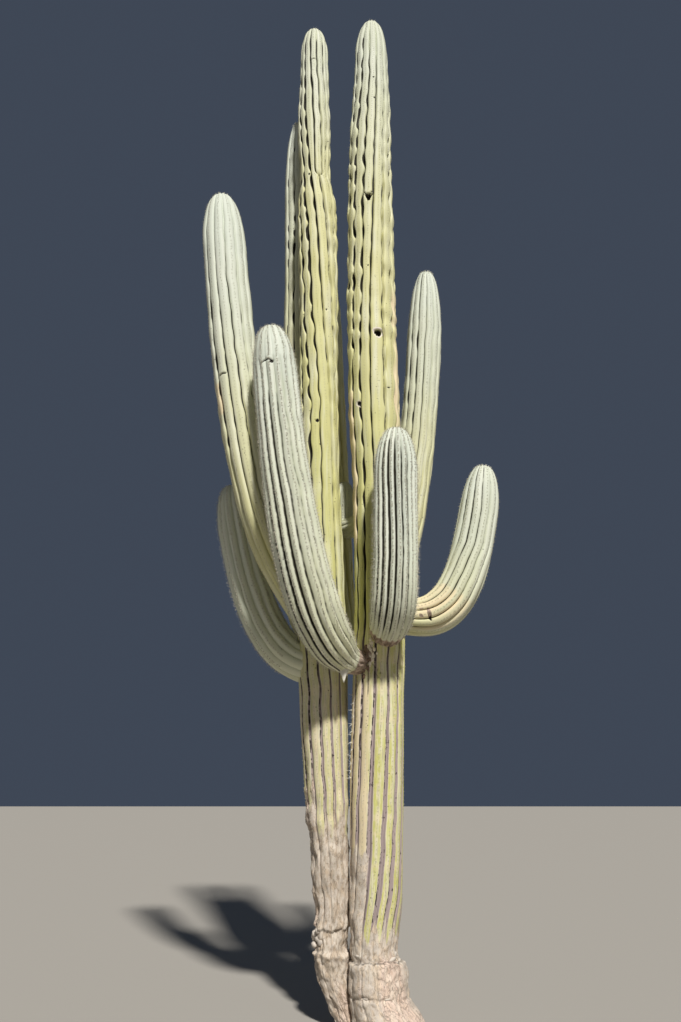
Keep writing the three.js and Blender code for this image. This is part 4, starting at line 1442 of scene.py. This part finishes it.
def pad_points(places, size):
    """The corners of the pads on a limb."""
    point, outward, upward, sideways = places
    corners = [(1.25, 0, -0.35), (0, -1, -0.35), (-1.25, 0, -0.35), (0, 1, -0.35), (0, 0, 0.75)]
    made = [point + size * (u * upward + s * sideways + o * outward) for u, s, o in corners]
    return np.stack(made, axis=1).reshape(-1, 3)


def spine_points(places, count, length, thickness, rng):
    """The corners of the spines on a limb, a few at each tuft."""
    point, outward, upward, sideways = (np.repeat(values, count, axis=0) for values in places)
    number = len(point)
    lean = np.radians(rng.uniform(*LEAN, number))[:, None]
    turn = rng.uniform(0, 2 * np.pi, number)[:, None]
    aim = outward * np.cos(lean) + (upward * np.cos(turn) + sideways * np.sin(turn)) * np.sin(lean)
    aim = unit(aim - DROOP * upward)
    side = unit(np.cross(aim, upward + 0.3 * sideways))
    other = np.cross(aim, side)
    reach = (length * rng.uniform(*LENGTHS, number))[:, None]
    corners = [point + thickness * (side * math.cos(a) + other * math.sin(a)) - ROOT_DEPTH * outward
               for a in (0, 2 * math.pi / 3, 4 * math.pi / 3)]
    corners.append(point + aim * reach)
    return np.stack(corners, axis=1).reshape(-1, 3)


def small_things_finish(name, colour):
    """A finish for many small pieces: plain, because a pattern would get lost on them."""
    finish = Finish(name, roughness=0.7, specular=0.2)
    finish.coloured(colour)
    return finish.material


PAD_FELT = {"young": small_things_finish("young_felt", linear(150, 146, 128)),
            "old": small_things_finish("old_felt", linear(172, 168, 144))}
SPINE_HORN = {"young": small_things_finish("young_spines", linear(196, 190, 172)),
              "old": small_things_finish("old_spines", linear(168, 160, 138))}
CROWN_WHITE = small_things_finish("crown_spines", linear(226, 224, 212))


def add_small_things(name, points, faces, finish):
    """A joined mesh of many small pieces that rides with the plant."""
    piece = make_mesh(name, points, [faces], finish, smooth=False)
    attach(piece, "root")
    return piece


for name, places in PLACES.items():
    _, count, length, thickness, kind = TUFTS[name]
    pads = pad_points(places, PAD_SIZE[kind])
    add_small_things(f"{name}_pads", pads, repeated(PAD_FACES, 5, len(places[0])), PAD_FELT[kind])
    spines = spine_points(places, count, length, thickness, rng)
    add_small_things(f"{name}_spines", spines, repeated(SPINE_FACES, 4, len(spines) // 4), SPINE_HORN[kind])
    crown = spine_points(CROWNS[name], CROWN_SPINES, CROWN_LENGTH[kind], CROWN_THICKNESS, rng)
    add_small_things(f"{name}_crown", crown, repeated(SPINE_FACES, 4, len(crown) // 4), CROWN_WHITE)
print("pads and spines made for", len(PLACES), "limbs")

# %% [markdown]
# ## A few odd pieces
# Some pieces belong to no row. A dry pale flap hangs under the lowest arm at the front, where it left its
# stem, and crust has formed round the wound beside it. Pale knobs stand on the left foot, chips of cork stick
# out round the right one, and the right stem has kept a few long spines on its left side. A lump is a small
# closed net with an uneven girth, and each is placed on its limb by distance and bearing.

# %% Lumps, and where they sit
LUMP_RINGS, LUMP_CORNERS = 6, 8  # the net of a lump


def on_limb(name, distance, degrees, out=0.0):
    """A place on a limb's skin, and the directions out, up and sideways there, for small things."""
    skin = SKINS[name]
    row = int(np.argmin(np.abs(skin["distance"] - distance)))
    column = int(np.argmin(turned_by(skin["bearing"][row], degrees)))
    point = skin["points"][row, column]
    middle = skin["points"][row].mean(axis=0)
    outward = unit(point - middle)
    upward = unit(skin["points"][row + 2].mean(axis=0) - middle)
    upward = unit(upward - outward * (upward @ outward))
    return point + out * outward, outward, upward, np.cross(outward, upward)


def lump(place, width, height, thickness, rng, taper=0.0):
    """A closed uneven lump, flattened against the skin. A taper of 1 brings its lower end to a point."""
    point, outward, upward, sideways = place
    rise = np.linspace(-1, 1, LUMP_RINGS)[:, None]
    turn = np.linspace(0, 2 * np.pi, LUMP_CORNERS, endpoint=False)[None, :]
    full = np.sqrt(np.clip(1.04 - rise**2, 0, 1)) * (1 - taper) + taper * (0.06 + 0.47 * (1 + rise))
    full = full * rng.uniform(0.85, 1.15, (LUMP_RINGS, LUMP_CORNERS))
    side = (width / 2 * full * np.cos(turn))[..., None] * sideways
    deep = (thickness / 2 * full * np.sin(turn))[..., None] * outward
    rings = point + side + deep + (height / 2 * rise)[..., None] * upward
    points = np.concatenate([rings.reshape(-1, 3), [rings[0].mean(axis=0), rings[-1].mean(axis=0)]])
    squares, fans = net_faces(LUMP_RINGS, LUMP_CORNERS)
    return points, [squares[:, ::-1], fans[:, ::-1]]


def joined(parts):
    """Several nets of points and faces as one."""
    start, points, squares, fans = 0, [], [], []
    for part_points, (part_squares, part_fans) in parts:
        points.append(part_points)
        squares.append(part_squares + start)
        fans.append(part_fans + start)
        start += len(part_points)
    return np.concatenate(points), [np.concatenate(squares), np.concatenate(fans)]


def lumps_on(name, rows, thickness, rng):
    """A lump on a limb for each row: distance, bearing, how far out, width and height."""
    return [lump(on_limb(name, at, side, out), wide, tall, thickness, rng)
            for at, side, out, wide, tall in rows]


def cork_piece(name, lumps, finish):
    """One mesh of lumps, which rides with the plant."""
    piece = make_mesh(name, *joined(lumps), finish)
    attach(piece, "root")


place = on_limb("trunk_left", 0.6, -156)[0]
print("the left foot's knobs stand round", np.round(place, 2))

# %% Flap, knobs and chips
KNOBS = [  # distance, bearing, how far out, width and height
    (0.585, -156, 0.004, 0.085, 0.06),
    (0.65, -140, -0.004, 0.05, 0.055),
    (0.54, -170, 0.002, 0.07, 0.05),
    (0.622, -164, 0.002, 0.06, 0.05),
    (0.57, -138, -0.01, 0.06, 0.07),
    (0.6, -176, 0, 0.06, 0.09),
]
CHIPS = [  # distance, bearing, width and height
    (0.475, -48, 0.07, 0.03),
    (0.5, -30, 0.05, 0.04),
    (0.46, -20, 0.06, 0.03),
    (0.49, -140, 0.05, 0.025),
    (0.24, -75, 0.06, 0.02),
    (0.235, -120, 0.05, 0.02),
]
CHIP_DEPTH = 0.003  # how far a chip is sunk
KNOB_THICKNESS, CHIP_THICKNESS = 0.05, 0.022
FLAP_SIZE = (0.085, 0.12, 0.026)  # width, height and thickness

odd_rng = np.random.default_rng(23)
root = on_limb("arm_left_front", 0.3, -70)[0]
hanging = (root - (0, 0, 0.03), np.array([0.0, -1, 0]), np.array([0.0, 0, 1]), np.array([1.0, 0, 0]))
flap = lump(hanging, *FLAP_SIZE, odd_rng, taper=1.0)
dry_white = small_things_finish("dry_white", linear(214, 210, 196))
cork_chips = small_things_finish("cork_chips", linear(200, 190, 178))
cork_piece("hanging_flap", [flap], dry_white)
cork_piece("left_foot_knobs", lumps_on("trunk_left", KNOBS, KNOB_THICKNESS, odd_rng), cork_chips)
chips = [(at, side, -CHIP_DEPTH, wide, tall) for at, side, wide, tall in CHIPS]
cork_piece("right_foot_chips", lumps_on("trunk_right", chips, CHIP_THICKNESS, odd_rng), cork_chips)
print("odd pieces: a flap,", len(KNOBS), "knobs and", len(CHIPS), "chips")

# %% Crust round the wound, and long spines
CRUST_LUMPS = 22
CRUST_DEPTH, CRUST_THICKNESS = 0.004, 0.03
LONG_TUFTS = 13
LONG_TUFT_HEIGHTS = (1.75, 2.36)
LONG_TUFT_SIDES = (-176, -158)
LONG_SPINES = (3, 0.045, 0.0018)  # spines in a tuft, length, thickness


def crust(level, middle, spread, rng):
    """Small lumps scattered on the right stem round one place."""
    at = rng.normal(level, 0.06, CRUST_LUMPS)
    side = rng.normal(middle, spread, CRUST_LUMPS)
    wide = rng.uniform(0.014, 0.034, CRUST_LUMPS)
    sunk = np.full(CRUST_LUMPS, -CRUST_DEPTH)
    return lumps_on("trunk_right", zip(at, side, sunk, wide, 1.4 * wide), CRUST_THICKNESS, rng)


pale_crust = small_things_finish("pale_crust", linear(222, 212, 192))
cork_piece("scar_crust_pale", crust(2.7, -108, 4, odd_rng), pale_crust)
brown_crust = small_things_finish("brown_crust", linear(130, 108, 92))
cork_piece("scar_crust_brown", crust(2.66, -121, 5, odd_rng), brown_crust)

levels = np.linspace(*LONG_TUFT_HEIGHTS, LONG_TUFTS)
sides = odd_rng.uniform(*LONG_TUFT_SIDES, LONG_TUFTS)
tufts = [on_limb("trunk_right", at, side) for at, side in zip(levels, sides)]
tufts = [np.array(values) for values in zip(*tufts)]
long_points = spine_points(tufts, *LONG_SPINES, odd_rng)
long_faces = repeated(SPINE_FACES, 4, len(long_points) // 4)
add_small_things("long_spines", long_points, long_faces, CROWN_WHITE)
print("and", 2 * CRUST_LUMPS, "lumps of crust and", len(long_points) // 4, "long spines")

# %% [markdown]
# ## The stage
# The plant stands on a plain pale floor under a soft sun from the front right, high up, with a pale blue-grey
# sky that fills the shadows. The camera stands at eye height, 6.7 m away, and looks up by 19.3 degrees, as
# the photograph does.

# %% Floor, light and camera
FLOOR_SIZE = 160.0
EYE = (-0.28, -6.7, 1.65)
LOOK_UP = 19.3
LENS, SENSOR = 28, 36  # in millimetres
SUN_SIDE = 14.0  # to the right of the camera's side, in degrees
SUN_HEIGHT = 46.0
SUN_STRENGTH = 4.6
SUN_SIZE = 4  # in degrees: the larger, the softer the edges of the shadows
SUN_TINT = (1.0, 0.98, 0.94)
SKY = (0.05, 0.064, 0.092, 1)

half = FLOOR_SIZE / 2
floor_finish = Finish("floor_plaster", roughness=0.9, specular=0.1)
floor_finish.coloured(linear(166, 161, 153))
corners = np.array([(-half, -half, 0), (half, -half, 0), (half, half, 0), (-half, half, 0)], float)
floor = make_mesh("floor", corners, [np.array([(0, 1, 2, 3)])], floor_finish.material, smooth=False)

world = bpy.data.worlds.new("soft_sky")
bpy.context.scene.world = world
world.use_nodes = True
world.node_tree.nodes["Background"].inputs["Color"].default_value = SKY
world.node_tree.nodes["Background"].inputs["Strength"].default_value = 1.0

sun_data = bpy.data.lights.new("sun", "SUN")
sun_data.energy = SUN_STRENGTH
sun_data.angle = math.radians(SUN_SIZE)
sun_data.color = SUN_TINT
sun = bpy.data.objects.new("sun", sun_data)
sun.rotation_euler = (math.radians(90 - SUN_HEIGHT), 0, math.radians(SUN_SIDE))
bpy.context.scene.collection.objects.link(sun)

camera_data = bpy.data.cameras.new("camera")
camera_data.lens = LENS
camera_data.sensor_width = SENSOR
camera = bpy.data.objects.new("camera", camera_data)
camera.location = EYE
camera.rotation_euler = (math.radians(90 + LOOK_UP), 0, 0)
bpy.context.scene.collection.objects.link(camera)
bpy.context.scene.camera = camera
bpy.context.scene.view_settings.view_transform = "Standard"
print("the camera looks up by", LOOK_UP, "degrees from", EYE)
